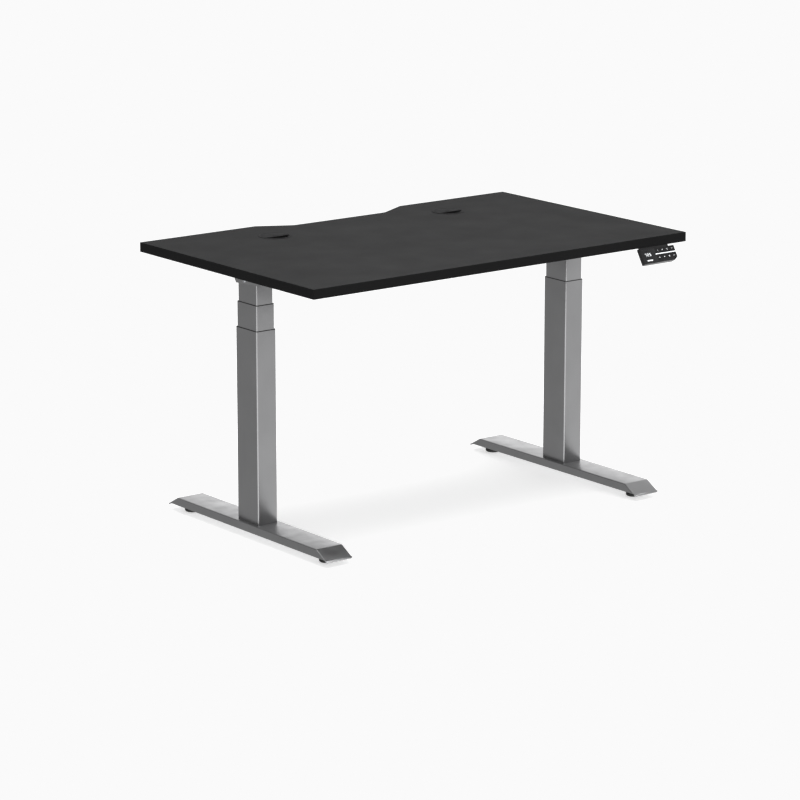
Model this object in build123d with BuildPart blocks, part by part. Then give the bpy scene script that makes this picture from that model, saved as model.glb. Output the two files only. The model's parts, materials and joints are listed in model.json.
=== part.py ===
from build123d import *
import os
from math import cos, radians, sin

# Height adjustable standing desk. Millimetres, +Z up, floor at Z = 0.
# +X runs along the desktop to the user's right, the user sits on the -Y side.
# The origin is on the floor, in the middle of the whole footprint. The keypad stands
# out past the front edge, so the desktop's own centre lies a little behind the origin.
os.makedirs("parts", exist_ok=True)

# Desktop
TOP_LENGTH = 1200.0
TOP_DEPTH = 750.0
TOP_THICK = 25.0
TOP_SURFACE = 711.0
UNDERSIDE = TOP_SURFACE - TOP_THICK
BAND_THICK = 1.5
BAND_ROUND = 1.0
SCALLOP_DEPTH = 50.0
SCALLOP_MOUTH = 480.0
SCALLOP_FLOOR = 300.0
SCALLOP_FLOOR_ROUND = 40.0
SCALLOP_MOUTH_ROUND = 12.0

# Keypad face: a flat panel that leans forward under the front edge
FACE_TILT = 31.0
FACE_LENGTH = 44.0
FACE_LOW_X = 439.0
FACE_WIDTH = 116.0
KEYPAD_REACH = FACE_LENGTH * sin(radians(FACE_TILT))
CENTRE_Y = KEYPAD_REACH / 2
FRONT_Y = CENTRE_Y - TOP_DEPTH / 2
REAR_Y = CENTRE_Y + TOP_DEPTH / 2

# Legs
LEG_X = 505.0
TUBE_WALL = 1.6
OUTER_ACROSS = 60.0
OUTER_DEEP = 90.0
TUBE_STEP = 5.0
OUTER_ROUND = 4.0
FOOT_TOP = 40.0
OUTER_TOP = 541.0
MIDDLE_LOW = 106.0
MIDDLE_TOP = 606.0
INNER_LOW = 164.0
INNER_TOP = 658.0
MIDDLE_ACROSS = OUTER_ACROSS - TUBE_STEP
MIDDLE_DEEP = OUTER_DEEP - TUBE_STEP
INNER_ACROSS = MIDDLE_ACROSS - TUBE_STEP
INNER_DEEP = MIDDLE_DEEP - TUBE_STEP
MIDDLE_ROUND = 3.6
INNER_ROUND = 3.2
COLLAR_HEIGHT = 1.5
GLIDE_SKIRT = 60.0
GLIDE_CLEARANCE = 0.4
COLLAR_CHAMFER = 0.6
PLATE_THICK = 8.0

# Feet
FOOT_WIDTH = 80.0
FOOT_SHEET = 3.0
FOOT_SIDE_LOW = 19.0
FOOT_FLAT_HALF = 304.0
FOOT_FOLD_ROUND = 2.5
TOE_REACH = 43.5
TOE_TIP_DROP = 24.5
TOE_CORNER = 4.0
PAD_Y = 294.0
PAD_RADIUS = 20.0
PAD_EDGE = 9.0
STUD_RADIUS = 4.0
STUD_TOP = 34.0
STUD_TIP = 1.0
PAD_BEVEL = 4.0
PAD_SHOULDER = 4.0
PAD_HUB_RADIUS = 9.0
PAD_HUB_HEIGHT = 5.0
NUT_LOW = 27.0
NUT_ACROSS_CORNERS = 9.0
FOOT_BOLT_X = 18.0
FOOT_BOLT_Y = 32.0
FOOT_BOLT_HEAD = 6.5
FOOT_BOLT_HEAD_HEIGHT = 5.0
FOOT_BOLT_CLEARANCE = 0.5

# Lifting screws, one inside the other
FIXED_SCREW_RADIUS = 5.0
FIXED_SCREW_TOP = 520.0
DRIVE_OUTER = 7.9
DRIVE_LOW = 108.0
DRIVE_TOP = 600.0
HOLLOW_OUTER = 10.0
HOLLOW_LOW = 179.0
RUNNING_GAP = 0.1
CLOSE_GAP = 0.05
POST_INNER = 11.5
POST_OUTER = 14.0
NUT_SEAT = 466.0
NUT_HEIGHT = 25.0
NUT_CHAMFER = 1.5
FIXED_HUB_HEIGHT = 6.0
SCREW_TIP = 1.0
SCREW_BORE_TOP = 650.0
WHEEL_RADIUS = 16.0
WHEEL_LOW = INNER_TOP + 4.0
WHEEL_TOP = WHEEL_LOW + 10.0
WHEEL_HUB_RADIUS = 5.5
WHEEL_HUB_TOP = WHEEL_TOP + 6.0
WHEEL_GAP = 0.3
WHEEL_SIDE_GAP = 0.5
WHEEL_HUB_ROOM = 0.7

# Brackets, drive heads, motors and rails under the desktop
BRACKET_WIDTH = 60.0
BRACKET_HALF_LENGTH = 250.0
BRACKET_TOP_SHEET = 3.0
CHEEK_SHEET = 2.0
LIP_DEPTH = 12.0
LIP_TAPER = 30.0
LIP_TAPER_DROP = 6.0
FOLD_ROUND = 1.5
CHEEK_FRONT_TOP_Y = 70.0
CHEEK_FRONT_LOW_Y = 57.0
CHEEK_FRONT_Z = 658.0
CHEEK_REAR_LOW_Y = INNER_DEEP / 2 + 1.0
CHEEK_REAR_TOP_Y = 56.0
CHEEK_REAR_Z = 652.5
RAIL_MARGIN = 5.0
RAIL_TAPER = 15.0
HEAD_TOP = UNDERSIDE - BRACKET_TOP_SHEET
HEAD_DEEP = 77.0
SPIGOT_LOW = 645.0
MOTOR_RADIUS = 22.0
MOTOR_LENGTH = 95.0
MOTOR_Z = 659.0
MOTOR_ROUND = 2.0
MOTOR_BOSS_RADIUS = MOTOR_RADIUS / 3
MOTOR_BOSS = 5.0
MOTOR_HOLE_GAP = 0.5
PLUG_INSET = 16.0
PLUG_SIZE = (20.0, 16.0, 8.0)
PLUG_SINK = 1.0
RAIL_Y = 110.0
RAIL_WIDTH = 40.0
RAIL_HEIGHT = 24.0
RAIL_SHEET = 2.0
BOLT_RADIUS = 3.0
BOLT_HEAD_RADIUS = 5.5
BOLT_HEAD_HEIGHT = 3.0
BOLT_LENGTH = 10.0
HEAD_BOLT_Z = 671.0
HEAD_BOLT_OUTBOARD_Y = 26.0
HEAD_BOLT_INBOARD_Y = 31.0
LOW_BOLT_Y = 5.0
LOW_BOLT_Z = 663.5
RAIL_BOLT_Z = 674.0
RAIL_BOLT_SHIFT = 10.0
SCREW_RADIUS = 2.5
SCREW_HEAD_RADIUS = 5.0
SCREW_HEAD_HEIGHT = 2.5
SCREW_DEPTH = 16.0
BRACKET_SCREW_Y = (-225.0, -150.0, 150.0, 225.0)
HEAD_RIM_SHARE = 0.4
HEAD_CROWN_TAPER = 0.65

# Cable grommets
GROMMET_X = 285.0
GROMMET_SHIFT = 7.5
GROMMET_Y = CENTRE_Y + 233.0
GROMMET_HOLE = 40.0
GROMMET_FLANGE = 43.5
GROMMET_RISE = 1.0
FLANGE_EDGE = 0.5
FLANGE_BEVEL = 0.8
RING_EASING = 0.4
SLEEVE_GAP = 0.1
SLEEVE_RAISED = 4.0
LEDGE_DROP = 1.0
LEDGE_THICK = 2.0
LEDGE_SLOPE = 2.5
CAP_RADIUS = 36.7
CAP_CHORD = 11.0
CAP_CORNER = 3.0
CAP_EASING = 0.6
CAP_GAP = 0.3
CAP_SLEEVE_GAP = 0.8
CAP_OVERLAP = 1.9

# Control box
BOX_LENGTH = 220.0
BOX_DEPTH = 100.0
BOX_LOW = 652.0
BOX_WALL = 2.0
LID_THICK = 2.0
EAR_LENGTH = 15.0
BOX_CORNER = 4.0
BOX_EASING = 1.5
SOCKET_BLOCK = 16.0
SOCKET_BACK = 2.0
SOCKET_CORNER = 1.5
SOCKET_Z = 667.0
SOCKETS = (
    (-70.0, 28.0, 20.0),
    (-25.0, 14.0, 10.0),
    (5.0, 14.0, 10.0),
    (35.0, 12.0, 8.0),
)

# Board inside the control box: sizes, and the x places and pitches of its components
BOARD_SHEET = 1.6
BOARD_LENGTH = 200.0
BOARD_DEPTH = 74.0
STANDOFF_RADIUS = 3.0
STANDOFF_HEIGHT = 3.0
STANDOFF_X = 92.0
TRANSFORMER_X = -60.0
TRANSFORMER = (46.0, 40.0, 22.0)
CAPACITOR_X = 10.0
CAPACITOR_RADIUS = 8.0
CAPACITOR_HEIGHT = 18.0
CAPACITOR_PITCH = (22.0, 30.0)
RELAY_X = 65.0
RELAY = (16.0, 16.0, 12.0)
RELAY_PITCH = 24.0

# Keypad details, measured on the face: U to the right, V up from its top edge
HOUSING_THICK = 15.0
STEP_U = 97.0
STEP_DROP = 4.0
CUT_ALONG = 11.5
CUT_UP = 7.5
SIDE_ROUND = 5.0
RIM_EASING = 0.8
TAB_U = 4.0
TAB_WIDTH = 93.0
TAB_DEPTH = 42.0
TAB_SCREW_U = (26.0, 76.0)
TAB_SCREW_INSET = 25.0
COVER_U = 2.5
COVER_V = -3.5
COVER_WIDTH = FACE_WIDTH - 2 * COVER_U
COVER_HEIGHT = FACE_LENGTH - CUT_ALONG
COVER_THICK = 1.5
KEY_COLUMNS = 4
KEY_WIDTH = 14.0
KEY_HEIGHT = 12.0
KEY_THICK = 3.2
KEY_TRAVEL_ROOM = 1.0
KEY_PROUD = 0.2
KEY_CORNER = 1.0
KEY_GAP = 0.35
KEY_PITCH = 16.5
KEY_FIRST_U = 56.5
KEY_ROW_V = (-12.0, -31.5)
KEY_SKIN = 2.5
DISPLAY_WIDTH = 44.0
DISPLAY_HEIGHT = 36.0
DISPLAY_THICK = 1.2
DISPLAY_U = 4.0
DISPLAY_V = -5.0
DISPLAY_CORNER = 2.0
KEYPAD_BOARD_DEPTH = 8.0
KEYPAD_BOARD_U = 4.0
KEYPAD_BOARD_V = -5.0
KEYPAD_BOARD_MARGIN = 3.0
SWITCH_RADIUS = 3.2
SWITCH_HEIGHT = 2.2

SIDES = {"left": -1, "right": 1}
ENDS = {"front": -1, "rear": 1}


def save(builder, name):
    """Label a finished piece and write it under its own name."""
    builder.part.label = name
    export_step(builder.part, f"parts/{name}.step")


def fastener(seat, head_side, head_radius, head_height, shank_radius, shank_length):
    """Add a screw to the open part: its head stands on the seat, towards head_side."""
    rim = head_height * HEAD_RIM_SHARE
    crown = head_height - rim
    low = (Align.CENTER, Align.CENTER, Align.MIN)
    high = (Align.CENTER, Align.CENTER, Align.MAX)
    plane = Plane(origin=seat, z_dir=head_side)
    with Locations(plane):
        Cylinder(head_radius, rim, align=low)
        Cylinder(shank_radius, shank_length, align=high)
    with Locations(plane.offset(rim)):
        Cone(head_radius, head_radius * HEAD_CROWN_TAPER, crown, align=low)


# --------------------------------------------------------------------------- desktop


def board_corners():
    """Outline of the desktop: a rectangle with a scallop in its rear edge."""
    half = TOP_LENGTH / 2
    floor_y = REAR_Y - SCALLOP_DEPTH
    return [
        (-half, FRONT_Y),
        (half, FRONT_Y),
        (half, REAR_Y),
        (SCALLOP_MOUTH / 2, REAR_Y),
        (SCALLOP_FLOOR / 2, floor_y),
        (-SCALLOP_FLOOR / 2, floor_y),
        (-SCALLOP_MOUTH / 2, REAR_Y),
        (-half, REAR_Y),
    ]


def board_outline():
    """Face of the whole desktop seen from above, its scallop corners rounded."""
    floor_y = REAR_Y - SCALLOP_DEPTH
    with BuildSketch() as outline:
        with BuildLine():
            Polyline(*board_corners(), close=True)
        make_face()
        floor_corners = outline.vertices().filter_by(
            lambda v: abs(abs(v.X) - SCALLOP_FLOOR / 2) < 1 and abs(v.Y - floor_y) < 1
        )
        fillet(floor_corners, radius=SCALLOP_FLOOR_ROUND)
        mouth_corners = outline.vertices().filter_by(
            lambda v: abs(abs(v.X) - SCALLOP_MOUTH / 2) < 1 and abs(v.Y - REAR_Y) < 1
        )
        fillet(mouth_corners, radius=SCALLOP_MOUTH_ROUND)
    return outline.sketch


def screw_spots():
    """Every place where a screw goes up into the desktop: x, y and the plate below it."""
    spots = []
    for side in SIDES.values():
        for y in BRACKET_SCREW_Y:
            spots.append((side * LEG_X, CENTRE_Y + y, BRACKET_TOP_SHEET))
    for x in (-1, 1):
        for y in (-1, 1):
            ear_x = x * (BOX_LENGTH / 2 + EAR_LENGTH / 2)
            spots.append((ear_x, CENTRE_Y + y * BOX_DEPTH / 4, LID_THICK))
    for u in TAB_SCREW_U:
        spots.append((FACE_LOW_X + u, FRONT_Y + TAB_SCREW_INSET, BRACKET_TOP_SHEET))
    return spots


def grommet_centre(side):
    """Centre of a grommet on the desktop; the pair sits a little to the right."""
    return (GROMMET_SHIFT + side * GROMMET_X, GROMMET_Y)


def make_desktop():
    """Particle board core with its grommet holes and screw pilot holes."""
    with BuildPart() as board:
        with BuildSketch(Plane.XY.offset(UNDERSIDE)):
            add(board_outline())
            offset(amount=-BAND_THICK, mode=Mode.REPLACE)
        extrude(amount=TOP_THICK)
        with BuildSketch(Plane.XY.offset(UNDERSIDE)):
            with Locations(*[grommet_centre(side) for side in SIDES.values()]):
                Circle(GROMMET_HOLE)
        extrude(amount=TOP_THICK, mode=Mode.SUBTRACT)
        with BuildSketch(Plane.XY.offset(UNDERSIDE)):
            with Locations(*[(x, y) for x, y, _ in screw_spots()]):
                Circle(SCREW_RADIUS)
        extrude(amount=SCREW_DEPTH, mode=Mode.SUBTRACT)
    save(board, "desktop")


def make_edge_band():
    """Plastic band glued all round the board, with eased top and bottom edges."""
    with BuildPart() as band:
        with BuildSketch(Plane.XY.offset(UNDERSIDE)):
            add(board_outline())
            offset(amount=-BAND_THICK, mode=Mode.SUBTRACT)
        extrude(amount=TOP_THICK)
        for level in (-1, 0):
            rim = band.faces().filter_by(Axis.Z).sort_by(Axis.Z)[level]
            fillet(rim.outer_wire().edges(), radius=BAND_ROUND)
    save(band, "edge_band")


def make_desk_screws():
    """Pan head screws up through the plates into the desktop."""
    with BuildPart() as screws:
        for x, y, plate in screw_spots():
            fastener(
                (x, y, UNDERSIDE - plate),
                (0, 0, -1),
                SCREW_HEAD_RADIUS,
                SCREW_HEAD_HEIGHT,
                SCREW_RADIUS,
                plate + SCREW_DEPTH,
            )
    save(screws, "desk_screws")


# --------------------------------------------------------------------------- grommets


def make_grommet(side_name, side):
    """Flanged ring through the desktop and the loose cap that lies on its ledge."""
    centre = grommet_centre(side)
    ledge_top = TOP_SURFACE - LEDGE_DROP
    ledge_low = ledge_top - LEDGE_THICK
    sleeve_outer = GROMMET_HOLE - SLEEVE_GAP
    sleeve_inner = CAP_RADIUS + CAP_SLEEVE_GAP
    seat_inner = CAP_RADIUS + CAP_GAP
    ledge_inner = CAP_RADIUS - CAP_OVERLAP
    sleeve_low = UNDERSIDE + SLEEVE_RAISED
    flange_top = TOP_SURFACE + GROMMET_RISE
    with BuildPart() as ring:
        with BuildSketch(Plane.XZ.offset(-centre[1])):
            with BuildLine():
                Polyline(
                    (centre[0] + sleeve_inner, sleeve_low),
                    (centre[0] + sleeve_outer, sleeve_low),
                    (centre[0] + sleeve_outer, TOP_SURFACE),
                    (centre[0] + GROMMET_FLANGE, TOP_SURFACE),
                    (centre[0] + GROMMET_FLANGE, TOP_SURFACE + FLANGE_EDGE),
                    (centre[0] + GROMMET_FLANGE - FLANGE_BEVEL, flange_top),
                    (centre[0] + seat_inner + RING_EASING, flange_top),
                    (centre[0] + seat_inner, flange_top - RING_EASING),
                    (centre[0] + seat_inner, ledge_top),
                    (centre[0] + ledge_inner, ledge_top),
                    (centre[0] + ledge_inner, ledge_low),
                    (centre[0] + sleeve_inner, ledge_low - LEDGE_SLOPE),
                    close=True,
                )
            make_face()
        revolve(axis=Axis((centre[0], centre[1], 0), (0, 0, 1)))
    save(ring, f"grommet_ring_{side_name}")

    cap_low = ledge_top + CAP_GAP
    with BuildPart() as cap:
        with BuildSketch(Plane.XY.offset(cap_low)) as cap_sketch:
            with Locations(centre):
                Circle(CAP_RADIUS)
            with Locations((centre[0], centre[1] - CAP_CHORD)):
                Rectangle(
                    3 * CAP_RADIUS,
                    2 * CAP_RADIUS,
                    align=(Align.CENTER, Align.MAX),
                    mode=Mode.SUBTRACT,
                )
            fillet(cap_sketch.vertices().group_by(Axis.Y)[0], radius=CAP_CORNER)
        extrude(amount=flange_top - cap_low)
        fillet(cap.faces().sort_by(Axis.Z)[-1].edges(), radius=CAP_EASING)
    save(cap, f"grommet_cap_{side_name}")


# --------------------------------------------------------------------------- legs


def make_tube(name, centre_x, low, high, across, deep, round_radius):
    """Rectangular steel tube with rounded corners, standing along Z."""
    with BuildPart() as tube:
        with BuildSketch(Plane.XY.offset(low)):
            with Locations((centre_x, CENTRE_Y)):
                RectangleRounded(across, deep, round_radius)
                RectangleRounded(
                    across - 2 * TUBE_WALL,
                    deep - 2 * TUBE_WALL,
                    round_radius - TUBE_WALL,
                    mode=Mode.SUBTRACT,
                )
        extrude(amount=high - low)
    save(tube, name)


def make_glide(name, centre_x, top, across, deep, round_radius):
    """Plastic lining at a tube's mouth: a thin collar on its rim and a skirt inside."""
    bore_across = across - TUBE_STEP + 2 * GLIDE_CLEARANCE
    bore_deep = deep - TUBE_STEP + 2 * GLIDE_CLEARANCE
    bore_round = round_radius - TUBE_WALL
    with BuildPart() as glide:
        with BuildSketch(Plane.XY.offset(top - COLLAR_HEIGHT)):
            with Locations((centre_x, CENTRE_Y)):
                RectangleRounded(across, deep, round_radius)
        extrude(amount=COLLAR_HEIGHT)
        chamfer(glide.faces().sort_by(Axis.Z)[-1].edges(), length=COLLAR_CHAMFER)
        with BuildSketch(Plane.XY.offset(top - COLLAR_HEIGHT)):
            with Locations((centre_x, CENTRE_Y)):
                RectangleRounded(
                    across - 2 * TUBE_WALL, deep - 2 * TUBE_WALL, bore_round
                )
        extrude(amount=-GLIDE_SKIRT)
        with BuildSketch(Plane.XY.offset(top)):
            with Locations((centre_x, CENTRE_Y)):
                RectangleRounded(bore_across, bore_deep, bore_round)
        extrude(amount=-GLIDE_SKIRT - COLLAR_HEIGHT, mode=Mode.SUBTRACT)
    save(glide, name)


def make_column_base(side_name, centre_x):
    """Plate welded into the foot of the outer tube, tapped for the foot bolts."""
    with BuildPart() as plate:
        with BuildSketch(Plane.XY.offset(FOOT_TOP)):
            with Locations((centre_x, CENTRE_Y)):
                RectangleRounded(
                    OUTER_ACROSS - 2 * TUBE_WALL,
                    OUTER_DEEP - 2 * TUBE_WALL,
                    OUTER_ROUND - TUBE_WALL,
                )
                Circle(FIXED_SCREW_RADIUS, mode=Mode.SUBTRACT)
                with GridLocations(2 * FOOT_BOLT_X, 2 * FOOT_BOLT_Y, 2, 2):
                    Circle(STUD_RADIUS, mode=Mode.SUBTRACT)
        extrude(amount=PLATE_THICK)
    save(plate, f"column_base_{side_name}")


def make_nut_post(side_name, centre_x):
    """Plate in the foot of the middle tube with a post that carries the lift nut."""
    plate_top = MIDDLE_LOW + PLATE_THICK
    with BuildPart() as post:
        with BuildSketch(Plane.XY.offset(MIDDLE_LOW)):
            with Locations((centre_x, CENTRE_Y)):
                RectangleRounded(
                    MIDDLE_ACROSS - 2 * TUBE_WALL,
                    MIDDLE_DEEP - 2 * TUBE_WALL,
                    MIDDLE_ROUND - TUBE_WALL,
                )
                Circle(DRIVE_OUTER + RUNNING_GAP, mode=Mode.SUBTRACT)
        extrude(amount=PLATE_THICK)
        with BuildSketch(Plane.XY.offset(plate_top)):
            with Locations((centre_x, CENTRE_Y)):
                Circle(POST_OUTER)
                Circle(POST_INNER, mode=Mode.SUBTRACT)
        extrude(amount=NUT_SEAT - plate_top)
    save(post, f"nut_post_{side_name}")

    with BuildPart() as nut:
        with BuildSketch(Plane.XY.offset(NUT_SEAT)):
            with Locations((centre_x, CENTRE_Y)):
                Circle(POST_OUTER)
                Circle(HOLLOW_OUTER + CLOSE_GAP, mode=Mode.SUBTRACT)
        extrude(amount=NUT_HEIGHT)
        rims = nut.edges().filter_by(GeomType.CIRCLE).filter_by(
            lambda e: abs(e.radius - POST_OUTER) < 0.01
        )
        chamfer(rims.sort_by(Axis.Z)[-1], length=NUT_CHAMFER)
    save(nut, f"lift_nut_{side_name}")


def make_screws(side_name, centre_x):
    """The three nested screws: fixed in the base, turning in the middle, turning on top."""
    base_top = FOOT_TOP + PLATE_THICK
    with BuildPart() as fixed:
        with Locations((centre_x, CENTRE_Y, FOOT_TOP)):
            Cylinder(
                FIXED_SCREW_RADIUS,
                FIXED_SCREW_TOP - FOOT_TOP,
                align=(Align.CENTER, Align.CENTER, Align.MIN),
            )
        chamfer(fixed.edges().sort_by(Axis.Z)[-1], length=SCREW_TIP)
        with Locations((centre_x, CENTRE_Y, base_top)):
            Cylinder(
                FIXED_SCREW_RADIUS + STUD_RADIUS,
                FIXED_HUB_HEIGHT,
                align=(Align.CENTER, Align.CENTER, Align.MIN),
            )
    save(fixed, f"fixed_screw_{side_name}")

    with BuildPart() as drive:
        with BuildSketch(Plane.XY.offset(DRIVE_LOW)):
            with Locations((centre_x, CENTRE_Y)):
                Circle(DRIVE_OUTER)
                Circle(FIXED_SCREW_RADIUS + RUNNING_GAP, mode=Mode.SUBTRACT)
        extrude(amount=DRIVE_TOP - DRIVE_LOW)
    save(drive, f"drive_tube_{side_name}")

    with BuildPart() as hollow:
        with BuildSketch(Plane.XZ.offset(-CENTRE_Y)):
            with BuildLine():
                Polyline(
                    (centre_x, SCREW_BORE_TOP),
                    (centre_x + DRIVE_OUTER + RUNNING_GAP, SCREW_BORE_TOP),
                    (centre_x + DRIVE_OUTER + RUNNING_GAP, HOLLOW_LOW),
                    (centre_x + HOLLOW_OUTER, HOLLOW_LOW),
                    (centre_x + HOLLOW_OUTER, WHEEL_LOW),
                    (centre_x + WHEEL_RADIUS, WHEEL_LOW),
                    (centre_x + WHEEL_RADIUS, WHEEL_TOP),
                    (centre_x + WHEEL_HUB_RADIUS, WHEEL_TOP),
                    (centre_x + WHEEL_HUB_RADIUS, WHEEL_HUB_TOP),
                    (centre_x, WHEEL_HUB_TOP),
                    close=True,
                )
            make_face()
        revolve(axis=Axis((centre_x, CENTRE_Y, 0), (0, 0, 1)))
    save(hollow, f"hollow_screw_{side_name}")


# --------------------------------------------------------------------------- feet


def toe_outline(end):
    """Side view of the slanted plate that closes a foot's end, as (y, z) corners."""
    slope = (TOE_REACH**2 + TOE_TIP_DROP**2) ** 0.5
    down_y = TOE_TIP_DROP / slope * FOOT_SHEET
    down_z = TOE_REACH / slope * FOOT_SHEET
    fold_y = FOOT_FLAT_HALF
    tip_y = fold_y + TOE_REACH
    tip_z = FOOT_TOP - TOE_TIP_DROP
    corners = [
        (fold_y, FOOT_TOP),
        (tip_y, tip_z),
        (tip_y - down_y, tip_z - down_z),
        (fold_y - down_y, FOOT_TOP - down_z),
    ]
    return [(CENTRE_Y + end * y, z) for y, z in corners]


def toe_cheek_outline(end):
    """The side wall's three-cornered run-on below a slanted plate, as (y, z) corners."""
    fall = TOE_TIP_DROP / TOE_REACH
    half_upright = FOOT_SHEET / 2 * (1 + fall**2) ** 0.5
    top_z = FOOT_TOP - half_upright
    meet_y = FOOT_FLAT_HALF + (top_z - FOOT_SIDE_LOW) / fall
    corners = [
        (FOOT_FLAT_HALF, FOOT_SIDE_LOW),
        (meet_y, FOOT_SIDE_LOW),
        (FOOT_FLAT_HALF, top_z),
    ]
    return [(CENTRE_Y + end * y, z) for y, z in corners]


def make_foot(side_name, centre_x):
    """Folded steel channel, open below, with a slanted plate at each end."""
    side_height = FOOT_TOP - FOOT_SIDE_LOW
    channel_height = side_height - FOOT_SHEET
    with BuildPart() as foot:
        with BuildSketch(Plane.XZ.offset(-CENTRE_Y - FOOT_FLAT_HALF)):
            with Locations((centre_x, FOOT_SIDE_LOW)):
                Rectangle(FOOT_WIDTH, side_height, align=(Align.CENTER, Align.MIN))
            with Locations((centre_x, FOOT_SIDE_LOW)):
                Rectangle(
                    FOOT_WIDTH - 2 * FOOT_SHEET,
                    channel_height,
                    align=(Align.CENTER, Align.MIN),
                    mode=Mode.SUBTRACT,
                )
        extrude(amount=2 * FOOT_FLAT_HALF)
        long_folds = foot.edges().filter_by(Axis.Y).group_by(Axis.Z)[-1]
        fillet(long_folds, radius=FOOT_FOLD_ROUND)
        for end in ENDS.values():
            with BuildSketch(Plane.YZ.offset(centre_x - FOOT_WIDTH / 2)):
                with BuildLine():
                    Polyline(*toe_outline(end), close=True)
                make_face()
            extrude(amount=FOOT_WIDTH)
            for wall_x in (-FOOT_WIDTH / 2, FOOT_WIDTH / 2 - FOOT_SHEET):
                with BuildSketch(Plane.YZ.offset(centre_x + wall_x)):
                    with BuildLine():
                        Polyline(*toe_cheek_outline(end), close=True)
                    make_face()
                extrude(amount=FOOT_SHEET)
        tip_y = FOOT_FLAT_HALF + TOE_REACH
        corners = foot.edges().filter_by(
            lambda e: abs(abs(e.center().Y - CENTRE_Y) - tip_y) < FOOT_SHEET
            and e.length < 2 * FOOT_SHEET
        )
        fillet(corners, radius=TOE_CORNER)
        with BuildSketch(Plane.XY.offset(FOOT_TOP)):
            with Locations((centre_x, CENTRE_Y)):
                with GridLocations(2 * FOOT_BOLT_X, 2 * FOOT_BOLT_Y, 2, 2):
                    Circle(STUD_RADIUS + FOOT_BOLT_CLEARANCE)
        extrude(amount=-FOOT_SHEET, mode=Mode.SUBTRACT)
    save(foot, f"foot_{side_name}")


def make_foot_hardware():
    """Bolts that hold the feet to the columns, and the nuts for the levelling pads."""
    nut_height = FOOT_TOP - FOOT_SHEET - NUT_LOW
    bolt_seat = FOOT_TOP - FOOT_SHEET
    with BuildPart() as hardware:
        for side in SIDES.values():
            for x in (-FOOT_BOLT_X, FOOT_BOLT_X):
                for y in (-FOOT_BOLT_Y, FOOT_BOLT_Y):
                    fastener(
                        (side * LEG_X + x, CENTRE_Y + y, bolt_seat),
                        (0, 0, -1),
                        FOOT_BOLT_HEAD,
                        FOOT_BOLT_HEAD_HEIGHT,
                        STUD_RADIUS,
                        FOOT_SHEET + PLATE_THICK,
                    )
            for end in ENDS.values():
                with BuildSketch(Plane.XY.offset(NUT_LOW)):
                    with Locations((side * LEG_X, CENTRE_Y + end * PAD_Y)):
                        RegularPolygon(NUT_ACROSS_CORNERS, 6)
                        Circle(STUD_RADIUS + CLOSE_GAP, mode=Mode.SUBTRACT)
                extrude(amount=nut_height)
    save(hardware, "foot_hardware")


def make_levelling_pad(name, x, y):
    """Round glide moulded on a threaded stud."""
    shoulder_z = PAD_EDGE + PAD_SHOULDER
    with BuildPart() as pad:
        with BuildSketch(Plane.XZ.offset(-y)):
            with BuildLine():
                Polyline(
                    (x, 0),
                    (x + PAD_RADIUS - PAD_BEVEL, 0),
                    (x + PAD_RADIUS, PAD_BEVEL),
                    (x + PAD_RADIUS, PAD_EDGE),
                    (x + PAD_HUB_RADIUS, shoulder_z),
                    (x + PAD_HUB_RADIUS, shoulder_z + PAD_HUB_HEIGHT),
                    (x + STUD_RADIUS, shoulder_z + PAD_HUB_HEIGHT),
                    (x + STUD_RADIUS, STUD_TOP - STUD_TIP),
                    (x + STUD_RADIUS - STUD_TIP, STUD_TOP),
                    (x, STUD_TOP),
                    close=True,
                )
            make_face()
        revolve(axis=Axis((x, y, 0), (0, 0, 1)))
    save(pad, name)


# --------------------------------------------------------------------------- frame


def outboard_cheek():
    """Outboard cheek of a bracket as (y, z): deep beside the leg, a shallow lip beyond."""
    lip = UNDERSIDE - LIP_DEPTH
    return [
        (-BRACKET_HALF_LENGTH, UNDERSIDE),
        (-BRACKET_HALF_LENGTH, lip + LIP_TAPER_DROP),
        (-BRACKET_HALF_LENGTH + LIP_TAPER, lip),
        (-CHEEK_FRONT_TOP_Y, lip),
        (-CHEEK_FRONT_LOW_Y, CHEEK_FRONT_Z),
        (CHEEK_REAR_LOW_Y, CHEEK_REAR_Z),
        (CHEEK_REAR_TOP_Y, lip),
        (BRACKET_HALF_LENGTH - LIP_TAPER, lip),
        (BRACKET_HALF_LENGTH, lip + LIP_TAPER_DROP),
        (BRACKET_HALF_LENGTH, UNDERSIDE),
    ]


def inboard_cheek():
    """Inboard cheek as (y, z): deep enough along its middle to carry both rails."""
    lip = UNDERSIDE - LIP_DEPTH
    deep = UNDERSIDE - RAIL_HEIGHT
    rail_edge = RAIL_Y + RAIL_WIDTH / 2 + RAIL_MARGIN
    return [
        (-BRACKET_HALF_LENGTH, UNDERSIDE),
        (-BRACKET_HALF_LENGTH, lip + LIP_TAPER_DROP),
        (-BRACKET_HALF_LENGTH + LIP_TAPER, lip),
        (-rail_edge - RAIL_TAPER, lip),
        (-rail_edge, deep),
        (rail_edge, deep),
        (rail_edge + RAIL_TAPER, lip),
        (BRACKET_HALF_LENGTH - LIP_TAPER, lip),
        (BRACKET_HALF_LENGTH, lip + LIP_TAPER_DROP),
        (BRACKET_HALF_LENGTH, UNDERSIDE),
    ]


def head_bolts(side):
    """Bolts of a drive head: the seat of each bolt's head, and the way its shank runs."""
    outboard = side * (LEG_X + BRACKET_WIDTH / 2)
    inboard = side * (LEG_X - BRACKET_WIDTH / 2)
    return [
        ((outboard, CENTRE_Y + LOW_BOLT_Y, LOW_BOLT_Z), -side),
        ((outboard, CENTRE_Y - HEAD_BOLT_OUTBOARD_Y, HEAD_BOLT_Z), -side),
        ((outboard, CENTRE_Y + HEAD_BOLT_OUTBOARD_Y, HEAD_BOLT_Z), -side),
        ((inboard, CENTRE_Y - HEAD_BOLT_INBOARD_Y, HEAD_BOLT_Z), side),
        ((inboard, CENTRE_Y + HEAD_BOLT_INBOARD_Y, HEAD_BOLT_Z), side),
    ]


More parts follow.
